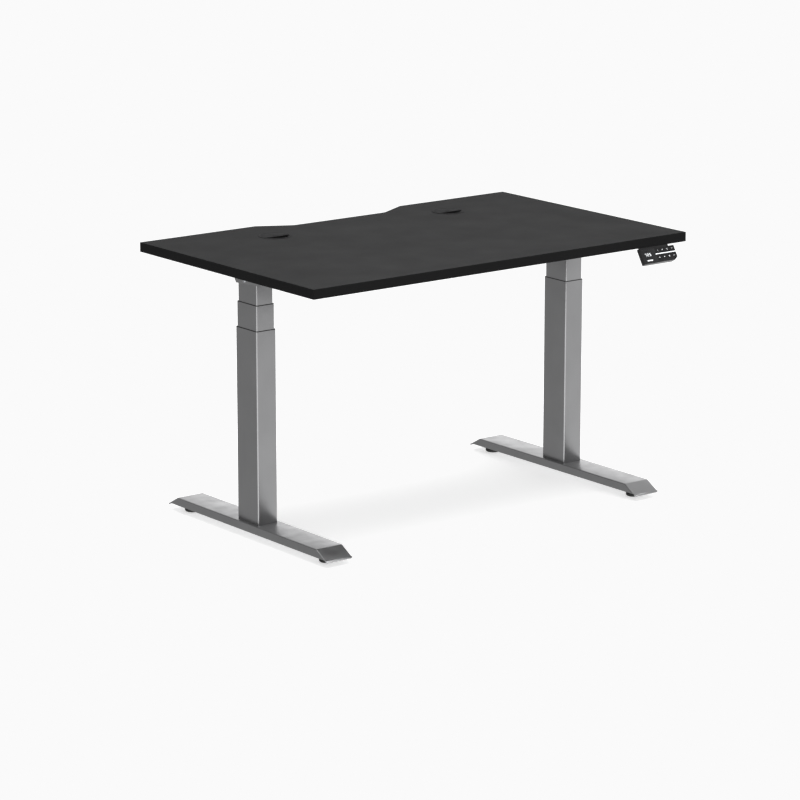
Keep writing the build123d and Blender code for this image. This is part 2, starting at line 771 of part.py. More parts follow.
def rail_bolts(side):
    """Bolts through an inboard cheek into the rails, given in the same way."""
    inner_face = side * (LEG_X - BRACKET_WIDTH / 2 + CHEEK_SHEET)
    spots = []
    for rail in ENDS.values():
        for shift in (-RAIL_BOLT_SHIFT, RAIL_BOLT_SHIFT):
            y = CENTRE_Y + rail * RAIL_Y + shift
            spots.append(((inner_face, y, RAIL_BOLT_Z), -side))
    return spots


def make_side_bracket(side_name, side):
    """Folded steel channel across the desktop, on top of a leg."""
    centre_x = side * LEG_X
    outboard_x = centre_x + side * (BRACKET_WIDTH / 2 - CHEEK_SHEET)
    inboard_x = centre_x - side * BRACKET_WIDTH / 2
    with BuildPart() as bracket:
        with Locations((centre_x, CENTRE_Y, UNDERSIDE)):
            Box(
                BRACKET_WIDTH,
                2 * BRACKET_HALF_LENGTH,
                BRACKET_TOP_SHEET,
                align=(Align.CENTER, Align.CENTER, Align.MAX),
            )
        for x, outline in (
            (outboard_x, outboard_cheek()),
            (inboard_x, inboard_cheek()),
        ):
            with BuildSketch(Plane.YZ.offset(x)):
                with BuildLine():
                    Polyline(*[(CENTRE_Y + y, z) for y, z in outline], close=True)
                make_face()
            extrude(amount=side * CHEEK_SHEET)
        folds = bracket.edges().filter_by(Axis.Y).group_by(Axis.Z)[-1]
        fillet(folds, radius=FOLD_ROUND)
        with BuildSketch(Plane.YZ.offset(inboard_x)):
            with Locations((CENTRE_Y, MOTOR_Z)):
                Circle(MOTOR_RADIUS + MOTOR_HOLE_GAP)
        extrude(amount=side * CHEEK_SHEET, mode=Mode.SUBTRACT)
        for seat, direction in head_bolts(side) + rail_bolts(side):
            with Locations(Plane(origin=seat, z_dir=(-direction, 0, 0))):
                Hole(BOLT_RADIUS, depth=CHEEK_SHEET)
        for x, y, plate in screw_spots():
            if abs(x - centre_x) < 1:
                with Locations((x, y, UNDERSIDE)):
                    Hole(SCREW_RADIUS, depth=plate)
    save(bracket, f"side_bracket_{side_name}")


def make_frame_bolts():
    """Button head bolts of the brackets, drive heads and rails, all along X."""
    with BuildPart() as bolts:
        for side in SIDES.values():
            for seat, direction in head_bolts(side) + rail_bolts(side):
                fastener(
                    seat,
                    (-direction, 0, 0),
                    BOLT_HEAD_RADIUS,
                    BOLT_HEAD_HEIGHT,
                    BOLT_RADIUS,
                    BOLT_LENGTH,
                )
    save(bolts, "frame_bolts")


def make_drive_head(side_name, side):
    """Cast head that plugs the inner tube, holds the turning screw and the motor."""
    centre_x = side * LEG_X
    half_width = BRACKET_WIDTH / 2 - CHEEK_SHEET
    wheel_side = WHEEL_RADIUS + WHEEL_SIDE_GAP
    hub_side = WHEEL_HUB_RADIUS + CLOSE_GAP
    motor_face = centre_x - side * half_width
    with BuildPart() as head:
        with BuildSketch(Plane.XY.offset(INNER_TOP)):
            with Locations((centre_x, CENTRE_Y)):
                RectangleRounded(2 * half_width, HEAD_DEEP, OUTER_ROUND)
        extrude(amount=HEAD_TOP - INNER_TOP)
        with BuildSketch(Plane.XY.offset(SPIGOT_LOW)):
            with Locations((centre_x, CENTRE_Y)):
                RectangleRounded(
                    INNER_ACROSS - 2 * TUBE_WALL,
                    INNER_DEEP - 2 * TUBE_WALL,
                    INNER_ROUND - TUBE_WALL,
                )
        extrude(amount=INNER_TOP - SPIGOT_LOW)
        with BuildSketch(Plane.XZ.offset(-CENTRE_Y)):
            with BuildLine():
                Polyline(
                    (centre_x, SPIGOT_LOW),
                    (centre_x + HOLLOW_OUTER + CLOSE_GAP, SPIGOT_LOW),
                    (centre_x + HOLLOW_OUTER + CLOSE_GAP, WHEEL_LOW - WHEEL_GAP),
                    (centre_x + wheel_side, WHEEL_LOW - WHEEL_GAP),
                    (centre_x + wheel_side, WHEEL_TOP + WHEEL_GAP),
                    (centre_x + hub_side, WHEEL_TOP + WHEEL_GAP),
                    (centre_x + hub_side, WHEEL_HUB_TOP + WHEEL_HUB_ROOM),
                    (centre_x, WHEEL_HUB_TOP + WHEEL_HUB_ROOM),
                    close=True,
                )
            make_face()
        revolve(axis=Axis((centre_x, CENTRE_Y, 0), (0, 0, 1)), mode=Mode.SUBTRACT)
        for seat, direction in head_bolts(side):
            start = (seat[0] + direction * CHEEK_SHEET, seat[1], seat[2])
            with Locations(Plane(origin=start, z_dir=(-direction, 0, 0))):
                Hole(BOLT_RADIUS, depth=BOLT_LENGTH - CHEEK_SHEET)
    save(head, f"drive_head_{side_name}")

    with BuildPart() as motor:
        with BuildSketch(Plane.YZ.offset(motor_face)):
            with Locations((CENTRE_Y, MOTOR_Z)):
                Circle(MOTOR_RADIUS)
        extrude(amount=-side * MOTOR_LENGTH)
        fillet(motor.edges().filter_by(GeomType.CIRCLE), radius=MOTOR_ROUND)
        with BuildSketch(Plane.YZ.offset(motor_face - side * MOTOR_LENGTH)):
            with Locations((CENTRE_Y, MOTOR_Z)):
                Circle(MOTOR_BOSS_RADIUS)
        extrude(amount=-side * MOTOR_BOSS)
        plug_x = motor_face - side * (MOTOR_LENGTH - PLUG_INSET)
        with Locations((plug_x, CENTRE_Y, MOTOR_Z - MOTOR_RADIUS + PLUG_SINK)):
            Box(*PLUG_SIZE, align=(Align.CENTER, Align.CENTER, Align.MAX))
    save(motor, f"motor_{side_name}")


def make_rail(end_name, end):
    """Steel channel, open below, that ties the two brackets together."""
    rail_y = CENTRE_Y + end * RAIL_Y
    half_length = LEG_X - BRACKET_WIDTH / 2
    cap_sheet = BOLT_LENGTH - CHEEK_SHEET
    with BuildPart() as rail:
        with Locations((0, rail_y, UNDERSIDE)):
            Box(
                2 * half_length,
                RAIL_WIDTH,
                RAIL_HEIGHT,
                align=(Align.CENTER, Align.CENTER, Align.MAX),
            )
        fillet(rail.edges().filter_by(Axis.X), radius=FOLD_ROUND)
        with Locations((0, rail_y, UNDERSIDE - RAIL_SHEET)):
            Box(
                2 * (half_length - cap_sheet),
                RAIL_WIDTH - 2 * RAIL_SHEET,
                RAIL_HEIGHT,
                align=(Align.CENTER, Align.CENTER, Align.MAX),
                mode=Mode.SUBTRACT,
            )
        for side in SIDES.values():
            for shift in (-RAIL_BOLT_SHIFT, RAIL_BOLT_SHIFT):
                start = (side * half_length, rail_y + shift, RAIL_BOLT_Z)
                with Locations(Plane(origin=start, z_dir=(side, 0, 0))):
                    Hole(BOLT_RADIUS, depth=cap_sheet)
    save(rail, f"rail_{end_name}")


# --------------------------------------------------------------------------- control box


def make_control_box():
    """Tray with a socket block at its rear, a lid with ears, and the board inside."""
    tray_top = UNDERSIDE - LID_THICK
    rear_wall = CENTRE_Y + BOX_DEPTH / 2
    with BuildPart() as tray:
        with BuildSketch(Plane.XY.offset(BOX_LOW)):
            with Locations((0, CENTRE_Y)):
                RectangleRounded(BOX_LENGTH, BOX_DEPTH, BOX_CORNER)
        extrude(amount=tray_top - BOX_LOW)
        fillet(tray.faces().sort_by(Axis.Z)[0].edges(), radius=BOX_EASING)
        with BuildSketch(Plane.XY.offset(tray_top)):
            with Locations((0, CENTRE_Y - BOX_DEPTH / 2 + BOX_WALL)):
                Rectangle(
                    BOX_LENGTH - 2 * BOX_WALL,
                    BOX_DEPTH - BOX_WALL - SOCKET_BLOCK,
                    align=(Align.CENTER, Align.MIN),
                )
        extrude(amount=BOX_LOW + BOX_WALL - tray_top, mode=Mode.SUBTRACT)
        with BuildSketch(Plane.XZ.offset(-rear_wall)):
            for x, width, height in SOCKETS:
                with Locations((x, SOCKET_Z)):
                    RectangleRounded(width, height, SOCKET_CORNER)
        extrude(amount=SOCKET_BLOCK - SOCKET_BACK, mode=Mode.SUBTRACT)
    save(tray, "control_box_tray")

    with BuildPart() as lid:
        with BuildSketch(Plane.XY.offset(tray_top)):
            with Locations((0, CENTRE_Y)):
                RectangleRounded(BOX_LENGTH + 2 * EAR_LENGTH, BOX_DEPTH, BOX_CORNER)
        extrude(amount=LID_THICK)
        for x, y, plate in screw_spots():
            if abs(x) < BOX_LENGTH:
                with Locations((x, y, UNDERSIDE)):
                    Hole(SCREW_RADIUS, depth=plate)
    save(lid, "control_box_lid")

    board_low = BOX_LOW + BOX_WALL + STANDOFF_HEIGHT
    board_top = board_low + BOARD_SHEET
    board_y = CENTRE_Y - SOCKET_BLOCK / 2
    standing = (Align.CENTER, Align.CENTER, Align.MIN)
    hanging = (Align.CENTER, Align.CENTER, Align.MAX)
    with BuildPart() as board:
        with Locations((0, board_y, board_low)):
            Box(BOARD_LENGTH, BOARD_DEPTH, BOARD_SHEET, align=standing)
        with Locations((TRANSFORMER_X, board_y, board_top)):
            Box(*TRANSFORMER, align=standing)
        with Locations((CAPACITOR_X, board_y, board_top)):
            with GridLocations(*CAPACITOR_PITCH, 2, 2):
                Cylinder(CAPACITOR_RADIUS, CAPACITOR_HEIGHT, align=standing)
        with Locations((RELAY_X, board_y, board_top)):
            with GridLocations(RELAY_PITCH, RELAY_PITCH, 2, 2):
                Box(*RELAY, align=standing)
        with Locations((-STANDOFF_X, board_y, board_low), (STANDOFF_X, board_y, board_low)):
            Cylinder(STANDOFF_RADIUS, STANDOFF_HEIGHT, align=hanging)
    save(board, "control_board")


# --------------------------------------------------------------------------- keypad


def face_plane(depth=0.0):
    """Plane on the keypad's face, sunk by depth: X to the right, Y up the slope."""
    lean = radians(FACE_TILT)
    normal = (0, -cos(lean), sin(lean))
    origin = (
        FACE_LOW_X,
        FRONT_Y - depth * normal[1],
        UNDERSIDE - depth * normal[2],
    )
    return Plane(origin=origin, x_dir=(1, 0, 0), z_dir=normal)


def key_centres():
    """Centres of the keys on the face, row by row from the top."""
    centres = []
    for v in KEY_ROW_V:
        for column in range(KEY_COLUMNS):
            centres.append((KEY_FIRST_U + column * KEY_PITCH, v))
    return centres


def housing_outline():
    """Face of the keypad: a step beside the tab and one cut lower corner."""
    with BuildSketch() as outline:
        with BuildLine():
            Polyline(
                (0, 0),
                (STEP_U, 0),
                (STEP_U, -STEP_DROP),
                (FACE_WIDTH, -STEP_DROP),
                (FACE_WIDTH, -FACE_LENGTH + CUT_UP),
                (FACE_WIDTH - CUT_ALONG, -FACE_LENGTH),
                (0, -FACE_LENGTH),
                close=True,
            )
        make_face()
    return outline.sketch


def opening_outline():
    """Opening in the back of the keypad, clear of the cut corner."""
    with BuildSketch() as outline:
        with Locations((COVER_U, COVER_V)):
            Rectangle(COVER_WIDTH, COVER_HEIGHT, align=(Align.MIN, Align.MAX))
    return outline.sketch


def display_outline():
    """Outline of the display window on the face."""
    centre = (DISPLAY_U + DISPLAY_WIDTH / 2, DISPLAY_V - DISPLAY_HEIGHT / 2)
    with BuildSketch() as outline:
        with Locations(centre):
            RectangleRounded(DISPLAY_WIDTH, DISPLAY_HEIGHT, DISPLAY_CORNER)
    return outline.sketch


def make_keypad_housing():
    """Housing with its tab under the desktop, open behind, with windows in its face."""
    with BuildPart() as housing:
        with BuildSketch(face_plane(HOUSING_THICK)):
            add(housing_outline())
        extrude(amount=HOUSING_THICK)
        left_side = housing.faces().sort_by(Axis.X)[0]
        long_edges = left_side.edges().sort_by(SortBy.LENGTH)[-2:]
        fillet(long_edges.sort_by(Axis.Y)[-1], radius=SIDE_ROUND)
        front = housing.faces().sort_by(Axis((0, 0, 0), face_plane().z_dir))[-1]
        below_top = UNDERSIDE - STEP_DROP / 2
        front_rim = front.edges().filter_by(lambda e: e.center().Z < below_top)
        fillet(front_rim, radius=RIM_EASING)
        with Locations((FACE_LOW_X + TAB_U, FRONT_Y, UNDERSIDE)):
            Box(
                TAB_WIDTH,
                TAB_DEPTH,
                BRACKET_TOP_SHEET,
                align=(Align.MIN, Align.MIN, Align.MAX),
            )
        with BuildSketch(face_plane(HOUSING_THICK)):
            add(opening_outline())
        extrude(amount=HOUSING_THICK - KEY_SKIN, mode=Mode.SUBTRACT)
        with BuildSketch(face_plane()):
            with Locations(*key_centres()):
                Rectangle(KEY_WIDTH, KEY_HEIGHT)
        extrude(amount=-KEY_THICK - KEY_TRAVEL_ROOM, mode=Mode.SUBTRACT)
        with BuildSketch(face_plane()):
            add(display_outline())
        extrude(amount=-DISPLAY_THICK, mode=Mode.SUBTRACT)
        for u in TAB_SCREW_U:
            with Locations((FACE_LOW_X + u, FRONT_Y + TAB_SCREW_INSET, UNDERSIDE)):
                Hole(SCREW_RADIUS, depth=BRACKET_TOP_SHEET)
    save(housing, "keypad_housing")


def make_keypad_fittings():
    """Rear cover, display window and circuit board of the keypad."""
    with BuildPart() as cover:
        with BuildSketch(face_plane(HOUSING_THICK)):
            add(opening_outline())
        extrude(amount=COVER_THICK)
    save(cover, "keypad_cover")

    with BuildPart() as display:
        with BuildSketch(face_plane(DISPLAY_THICK)):
            add(display_outline())
        extrude(amount=DISPLAY_THICK)
    save(display, "keypad_display")

    switch_low = KEYPAD_BOARD_DEPTH - BOARD_SHEET
    with BuildPart() as board:
        with BuildSketch(face_plane(KEYPAD_BOARD_DEPTH)):
            with Locations((KEYPAD_BOARD_U, KEYPAD_BOARD_V)):
                Rectangle(
                    FACE_WIDTH - 2 * KEYPAD_BOARD_U,
                    COVER_HEIGHT - KEYPAD_BOARD_MARGIN,
                    align=(Align.MIN, Align.MAX),
                )
        extrude(amount=BOARD_SHEET)
        with BuildSketch(face_plane(switch_low)):
            with Locations(*key_centres()):
                Circle(SWITCH_RADIUS)
        extrude(amount=SWITCH_HEIGHT)
    save(board, "keypad_board")


def make_keys():
    """Keys of the keypad, each a piece of its own."""
    width = KEY_WIDTH - 2 * KEY_GAP
    height = KEY_HEIGHT - 2 * KEY_GAP
    for index, centre in enumerate(key_centres()):
        with BuildPart() as key:
            with BuildSketch(face_plane(KEY_THICK)):
                with Locations(centre):
                    RectangleRounded(width, height, KEY_CORNER)
            extrude(amount=KEY_THICK + KEY_PROUD)
        save(key, f"key_{index + 1}")


# --------------------------------------------------------------------------- assembly


def make_leg(side_name, side):
    """Every piece of one leg, from the foot up to the motor."""
    x = side * LEG_X
    collar_low = OUTER_TOP - COLLAR_HEIGHT
    make_foot(side_name, x)
    make_column_base(side_name, x)
    make_tube(
        f"outer_tube_{side_name}", x, FOOT_TOP, collar_low, OUTER_ACROSS, OUTER_DEEP, OUTER_ROUND
    )
    make_glide(f"outer_glide_{side_name}", x, OUTER_TOP, OUTER_ACROSS, OUTER_DEEP, OUTER_ROUND)
    make_tube(
        f"middle_tube_{side_name}",
        x,
        MIDDLE_LOW,
        MIDDLE_TOP - COLLAR_HEIGHT,
        MIDDLE_ACROSS,
        MIDDLE_DEEP,
        MIDDLE_ROUND,
    )
    make_glide(
        f"middle_glide_{side_name}", x, MIDDLE_TOP, MIDDLE_ACROSS, MIDDLE_DEEP, MIDDLE_ROUND
    )
    make_tube(
        f"inner_tube_{side_name}", x, INNER_LOW, INNER_TOP, INNER_ACROSS, INNER_DEEP, INNER_ROUND
    )
    make_nut_post(side_name, x)
    make_screws(side_name, x)
    make_side_bracket(side_name, side)
    make_drive_head(side_name, side)
    for end_name, end in ENDS.items():
        make_levelling_pad(f"levelling_pad_{end_name}_{side_name}", x, CENTRE_Y + end * PAD_Y)


make_desktop()
make_edge_band()
make_desk_screws()
for side_name, side in SIDES.items():
    make_grommet(side_name, side)
    make_leg(side_name, side)
make_foot_hardware()
make_frame_bolts()
for end_name, end in ENDS.items():
    make_rail(end_name, end)
make_control_box()
make_keypad_housing()
make_keypad_fittings()
make_keys()
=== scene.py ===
"""Looks of a height adjustable standing desk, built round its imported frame.

Everything is in metres, +Z up, with +X to the user's right and the user at -Y.
Places come from the frame's nodes, and each class below holds one sub-assembly.
"""

import json
import logging
from collections.abc import Callable, Iterator, Sequence
from contextlib import contextmanager
from dataclasses import dataclass
from enum import Enum
from functools import cache
from math import cos, pi, radians, sin

import bmesh
import bpy
from mathutils import Matrix, Vector

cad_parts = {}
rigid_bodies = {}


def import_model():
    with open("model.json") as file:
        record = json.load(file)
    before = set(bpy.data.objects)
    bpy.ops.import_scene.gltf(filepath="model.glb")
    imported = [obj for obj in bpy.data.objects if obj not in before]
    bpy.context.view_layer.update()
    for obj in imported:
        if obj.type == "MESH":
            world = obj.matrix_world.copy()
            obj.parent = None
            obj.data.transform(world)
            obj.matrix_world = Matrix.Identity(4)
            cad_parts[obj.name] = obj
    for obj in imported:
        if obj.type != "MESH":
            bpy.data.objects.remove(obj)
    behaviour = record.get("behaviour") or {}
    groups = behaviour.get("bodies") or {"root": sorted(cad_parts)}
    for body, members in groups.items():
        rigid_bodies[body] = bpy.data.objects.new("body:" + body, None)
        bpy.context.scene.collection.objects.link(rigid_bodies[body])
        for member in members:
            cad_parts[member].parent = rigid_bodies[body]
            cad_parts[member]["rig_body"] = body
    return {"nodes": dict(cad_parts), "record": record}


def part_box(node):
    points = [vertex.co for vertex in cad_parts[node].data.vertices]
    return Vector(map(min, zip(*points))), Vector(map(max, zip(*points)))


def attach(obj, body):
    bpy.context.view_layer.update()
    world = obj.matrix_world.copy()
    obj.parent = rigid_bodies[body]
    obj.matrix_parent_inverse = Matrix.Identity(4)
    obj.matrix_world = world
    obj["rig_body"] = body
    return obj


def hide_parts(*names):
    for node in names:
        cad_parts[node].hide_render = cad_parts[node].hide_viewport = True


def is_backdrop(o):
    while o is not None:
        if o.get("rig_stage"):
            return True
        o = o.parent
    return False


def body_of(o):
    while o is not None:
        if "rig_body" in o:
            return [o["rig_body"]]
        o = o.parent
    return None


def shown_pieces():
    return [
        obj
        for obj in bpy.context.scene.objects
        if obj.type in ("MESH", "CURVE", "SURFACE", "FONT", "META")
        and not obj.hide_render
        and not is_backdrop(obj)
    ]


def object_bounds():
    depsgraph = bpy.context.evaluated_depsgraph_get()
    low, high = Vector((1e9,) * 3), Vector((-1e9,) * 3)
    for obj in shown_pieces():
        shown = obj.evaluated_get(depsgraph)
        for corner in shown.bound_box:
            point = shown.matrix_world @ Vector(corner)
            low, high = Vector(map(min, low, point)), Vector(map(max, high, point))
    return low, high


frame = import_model()
CAD_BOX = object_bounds()
LOG = logging.getLogger("standing_desk")
MM = 0.001
DOUBLE_POINTS = 2e-6
SIDES = {"left": -1, "right": 1}
ENDS = {"front": -1, "rear": 1}

Colour = tuple[float, float, float]
Point = Sequence[float]
Piece = bpy.types.Object


class Part(Enum):
    """What edit mode selects."""

    VERTEX = "VERT"
    EDGE = "EDGE"
    FACE = "FACE"


# ----------------------------------------------------------------------------- finishes


class Shader:
    """Node graph of one material, with the few nodes that the finishes share."""

    def __init__(self, name: str) -> None:
        """Start a material with its plain surface shader.

        Args:
            name: the material's name.
        """
        self.material = bpy.data.materials.new(name)
        self.material.use_nodes = True
        self.tree = self.material.node_tree
        self.surface = self.tree.nodes["Principled BSDF"]

    def node(self, kind: str, **settings: object) -> bpy.types.Node:
        """Add a node.

        Args:
            kind: the node's type, without its leading "ShaderNode".
            settings: properties of the node.

        Returns:
            The new node.
        """
        made = self.tree.nodes.new("ShaderNode" + kind)
        for key, value in settings.items():
            setattr(made, key, value)
        return made

    def join(self, source: bpy.types.NodeSocket, target: bpy.types.NodeSocket) -> None:
        """Link one socket to another."""
        self.tree.links.new(source, target)

    def place(self, stretch: Point = (1, 1, 1), centre: Point = (0, 0, 0)) -> bpy.types.NodeSocket:
        """Object coordinates in metres about a centre.

        Args:
            stretch: scale along each axis.
            centre: the point that the pattern is centred on.

        Returns:
            The socket with the coordinates.
        """
        coords = self.node("TexCoord")
        mapping = self.node("Mapping", vector_type="POINT")
        mapping.inputs["Scale"].default_value = stretch
        mapping.inputs["Location"].default_value = [-c * s for c, s in zip(centre, stretch)]
        self.join(coords.outputs["Object"], mapping.inputs["Vector"])
        return mapping.outputs["Vector"]

    def noise(self, size: float, detail: float = 3.0, stretch: Point = (1, 1, 1)) -> bpy.types.NodeSocket:
        """Cloudy pattern between 0 and 1.

        Args:
            size: width of one cloud in metres.
            detail: how many finer layers it has.
            stretch: scale along each axis.

        Returns:
            The socket with the pattern.
        """
        texture = self.node("TexNoise")
        texture.inputs["Scale"].default_value = 1 / size
        texture.inputs["Detail"].default_value = detail
        self.join(self.place(stretch), texture.inputs["Vector"])
        return texture.outputs[0]

    def spread(
        self, source: bpy.types.NodeSocket, low: float, high: float, start: float = 0.3, stop: float = 0.7
    ) -> bpy.types.NodeSocket:
        """Stretch a pattern's middle over a range of values.

        Args:
            source: the pattern.
            low: value where the pattern is at start or less.
            high: value where the pattern is at stop or more.
            start: lower end of the pattern's part that is used.
            stop: upper end of it.

        Returns:
            The socket with the new values.
        """
        spread = self.node("MapRange")
        spread.inputs["From Min"].default_value = start
        spread.inputs["From Max"].default_value = stop
        spread.inputs["To Min"].default_value = low
        spread.inputs["To Max"].default_value = high
        self.join(source, spread.inputs["Value"])
        return spread.outputs["Result"]

    def blend(self, share: bpy.types.NodeSocket, first: Colour, second: Colour) -> bpy.types.NodeSocket:
        """Mix two colours by a pattern.

        Args:
            share: the pattern, 0 for the first colour and 1 for the second.
            first: colour, linear.
            second: colour, linear.

        Returns:
            The socket with the colour.
        """
        mix = self.node("Mix", data_type="RGBA")
        mix.inputs[6].default_value = (*first, 1)
        mix.inputs[7].default_value = (*second, 1)
        self.join(share, mix.inputs["Factor"])
        return mix.outputs[2]

    def lay(
        self, share: bpy.types.NodeSocket, below: bpy.types.NodeSocket, colour: Colour
    ) -> bpy.types.NodeSocket:
        """Lay a colour over another one where a pattern says.

        Args:
            share: the pattern, 1 where the new colour shows.
            below: the colour below.
            colour: the new colour, linear.

        Returns:
            The socket with the colour.
        """
        mix = self.node("Mix", data_type="RGBA")
        mix.inputs[7].default_value = (*colour, 1)
        self.join(below, mix.inputs[6])
        self.join(share, mix.inputs["Factor"])
        return mix.outputs[2]

    def emboss(self, height: bpy.types.NodeSocket, depth: float) -> None:
        """Press a pattern into the surface, over what is pressed into it already.

        Args:
            height: the pattern.
            depth: how deep it goes, in metres.
        """
        bump = self.node("Bump")
        bump.inputs["Distance"].default_value = depth
        self.join(height, bump.inputs["Height"])
        normal = self.surface.inputs["Normal"]
        if normal.is_linked:
            self.join(normal.links[0].from_socket, bump.inputs["Normal"])
        self.join(bump.outputs["Normal"], normal)


@dataclass(frozen=True)
class Finish:
    """A surface's colour and gloss, both uneven, and the grain of its making.

    Sizes and depths are in metres, colours are linear.
    """

    name: str
    colour: Colour
    roughness: float
    metallic: float = 0.0
    specular: float = 0.5
    mottle: float = 0.08
    mottle_size: float = 0.06
    smudge: float = 0.06
    smudge_size: float = 0.03
    grain_size: float = 0.0012
    grain_depth: float = 0.00002
    stretch: tuple[float, float, float] = (1, 1, 1)
    coat: float = 0.0
    coat_roughness: float = 0.2

    def shade(self, share: float) -> Colour:
        """The finish's colour made lighter or darker by a share."""
        return tuple(c * (1 + share) for c in self.colour)

    def tint(self, shader: Shader) -> bpy.types.NodeSocket:
        """Colour over the surface: here the one colour, slightly cloudy."""
        clouds = shader.spread(shader.noise(self.mottle_size, stretch=self.stretch), 0, 1)
        return shader.blend(clouds, self.shade(-self.mottle), self.shade(self.mottle))

    def relief(self, shader: Shader) -> None:
        """Grain pressed into the surface."""
        shader.emboss(shader.noise(self.grain_size, stretch=self.stretch), self.grain_depth)

    def material(self) -> bpy.types.Material:
        """Build the material, once for each finish."""
        return material_of(self)


@cache
def material_of(finish: Finish) -> bpy.types.Material:
    """Build the material of a finish.

    Args:
        finish: what the surface looks like.

    Returns:
        The material, the same one each time for the same finish.
    """
    shader = Shader(finish.name)
    inputs = shader.surface.inputs
    inputs["Metallic"].default_value = finish.metallic
    inputs["Specular IOR Level"].default_value = finish.specular
    inputs["Coat Weight"].default_value = finish.coat
    inputs["Coat Roughness"].default_value = finish.coat_roughness
    shader.join(finish.tint(shader), inputs["Base Color"])
    low, high = finish.roughness - finish.smudge, finish.roughness + finish.smudge
    smudges = shader.noise(finish.smudge_size, 4.0, finish.stretch)
    shader.join(shader.spread(smudges, low, high), inputs["Roughness"])
    finish.relief(shader)
    return shader.material


@dataclass(frozen=True)
class PowderCoat(Finish):
    """Satin powder coat on steel: orange peel over its whole surface, and a few dust nibs."""

    nib_size: float = 0.004
    nib_depth: float = 0.00003
    nib_peaks: tuple[float, float] = (0.72, 0.8)

    def relief(self, shader: Shader) -> None:
        """Orange peel, and sparse nibs where the fine pattern peaks.

        Args:
            shader: the material's nodes.
        """
        super().relief(shader)
        nibs = shader.spread(shader.noise(self.nib_size, 1.0), 0, 1, *self.nib_peaks)
        shader.emboss(nibs, self.nib_depth)


@dataclass(frozen=True)
class Laminate(Finish):
    """Matt melamine pressed on a board: fine pores over a faint wave."""

    wave_size: float = 0.018
    wave_depth: float = 0.00001

    def relief(self, shader: Shader) -> None:
        """Fine pores, and the slight waviness of the pressed sheet."""
        super().relief(shader)
        shader.emboss(shader.noise(self.wave_size, 2.0), self.wave_depth)


@dataclass(frozen=True)
class Threaded(Finish):
    """Bright steel with a thread cut round the Z axis."""

    pitch: float = 0.003
    thread_depth: float = 0.0006

    def relief(self, shader: Shader) -> None:
        """Rings at the thread's pitch over the turned grain.

        Args:
            shader: the material's nodes.
        """
        super().relief(shader)
        rings = shader.node("TexWave", wave_type="BANDS", bands_direction="Z")
        rings.inputs["Scale"].default_value = pi / (10 * self.pitch)
        shader.join(shader.place(), rings.inputs["Vector"])
        shader.emboss(rings.outputs["Fac"], self.thread_depth)


@dataclass(frozen=True)
class CircuitBoard(Finish):
    """Green solder mask with copper lines under it, and dark components above."""

    lines: Colour = (0.03, 0.16, 0.06)
    components: Colour = (0.02, 0.02, 0.022)
    line_size: float = 0.004
    line_edges: tuple[float, float] = (0.02, 0.06)
    board_top: float = 0.6586
    board_step: float = 0.0002

    def tint(self, shader: Shader) -> bpy.types.NodeSocket:
        """Lines in the mask below the board's top, component bodies above it.

        Args:
            shader: the material's nodes.

        Returns:
            The socket with the colour.
        """
        cells = shader.node("TexVoronoi", feature="DISTANCE_TO_EDGE", distance="EUCLIDEAN")
        cells.inputs["Scale"].default_value = 1 / self.line_size
        shader.join(shader.place(), cells.inputs["Vector"])
        lines = shader.spread(cells.outputs["Distance"], 1, 0, *self.line_edges)
        mask = shader.blend(lines, self.colour, self.lines)
        height = shader.node("SeparateXYZ")
        shader.join(shader.place(), height.inputs["Vector"])
        above = shader.spread(height.outputs["Z"], 0, 1, self.board_top, self.board_top + self.board_step)
        return shader.lay(above, mask, self.components)


@dataclass(frozen=True)
class LitPrint(Finish):
    """White marks lit from behind, a little uneven."""

    glow: float = 0.85

    def relief(self, shader: Shader) -> None:
        """Fine grain, and the light that comes through the marks.

        Args:
            shader: the material's nodes.
        """
        super().relief(shader)
        shader.surface.inputs["Emission Color"].default_value = (*self.colour, 1)
        shader.surface.inputs["Emission Strength"].default_value = self.glow


FRAME_GREY = PowderCoat(
    "frame_powder_coat", (0.35, 0.35, 0.355), 0.34, 1.0, mottle=0.035, grain_depth=0.000012
)
TOP_LAMINATE = Laminate(
    "desktop_laminate", (0.0112, 0.0112, 0.0115), 0.72, specular=0.08, mottle=0.06, grain_size=0.0007,
    grain_depth=0.00003, smudge=0.03, smudge_size=0.12, mottle_size=0.2,
)
EDGE_STRIP = Finish(
    "edge_banding", (0.0054, 0.0054, 0.0056), 0.6, specular=0.1, mottle=0.1, grain_size=0.0009,
    stretch=(0.25, 0.25, 1.0),
)
BLACK_PLASTIC = Finish(
    "black_moulded_plastic", (0.0105, 0.0105, 0.011), 0.7, specular=0.06, grain_size=0.0006
)
GLIDE_PLASTIC = Finish("glide_plastic", (0.018, 0.018, 0.018), 0.5, specular=0.3, grain_size=0.0008)
PAD_RUBBER = Finish(
    "pad_rubber", (0.014, 0.014, 0.014), 0.68, specular=0.3, mottle=0.15, grain_size=0.0009,
    grain_depth=0.00004,
)
BARE_STEEL = Finish(
    "turned_steel", (0.42, 0.41, 0.40), 0.32, 1.0, mottle=0.1, grain_size=0.002, stretch=(1, 1, 18),
    grain_depth=0.00001,
)
SCREW_STEEL = Threaded("screw_steel", (0.45, 0.44, 0.43), 0.3, 1.0, grain_depth=0.000008)
BRASS = Threaded("brass_nut", (0.62, 0.42, 0.16), 0.33, 1.0, mottle=0.12, thread_depth=0.0001)
CAST_METAL = Finish(
    "cast_metal", (0.32, 0.32, 0.33), 0.55, 0.85, mottle=0.14, grain_size=0.0022, grain_depth=0.00009
)
MOTOR_ENAMEL = Finish("motor_enamel", (0.02, 0.02, 0.021), 0.35, coat=0.3, grain_size=0.002)
ZINC = Finish(
    "zinc_plate", (0.55, 0.56, 0.58), 0.34, 1.0, mottle=0.12, mottle_size=0.006, smudge=0.12,
    smudge_size=0.004,
)
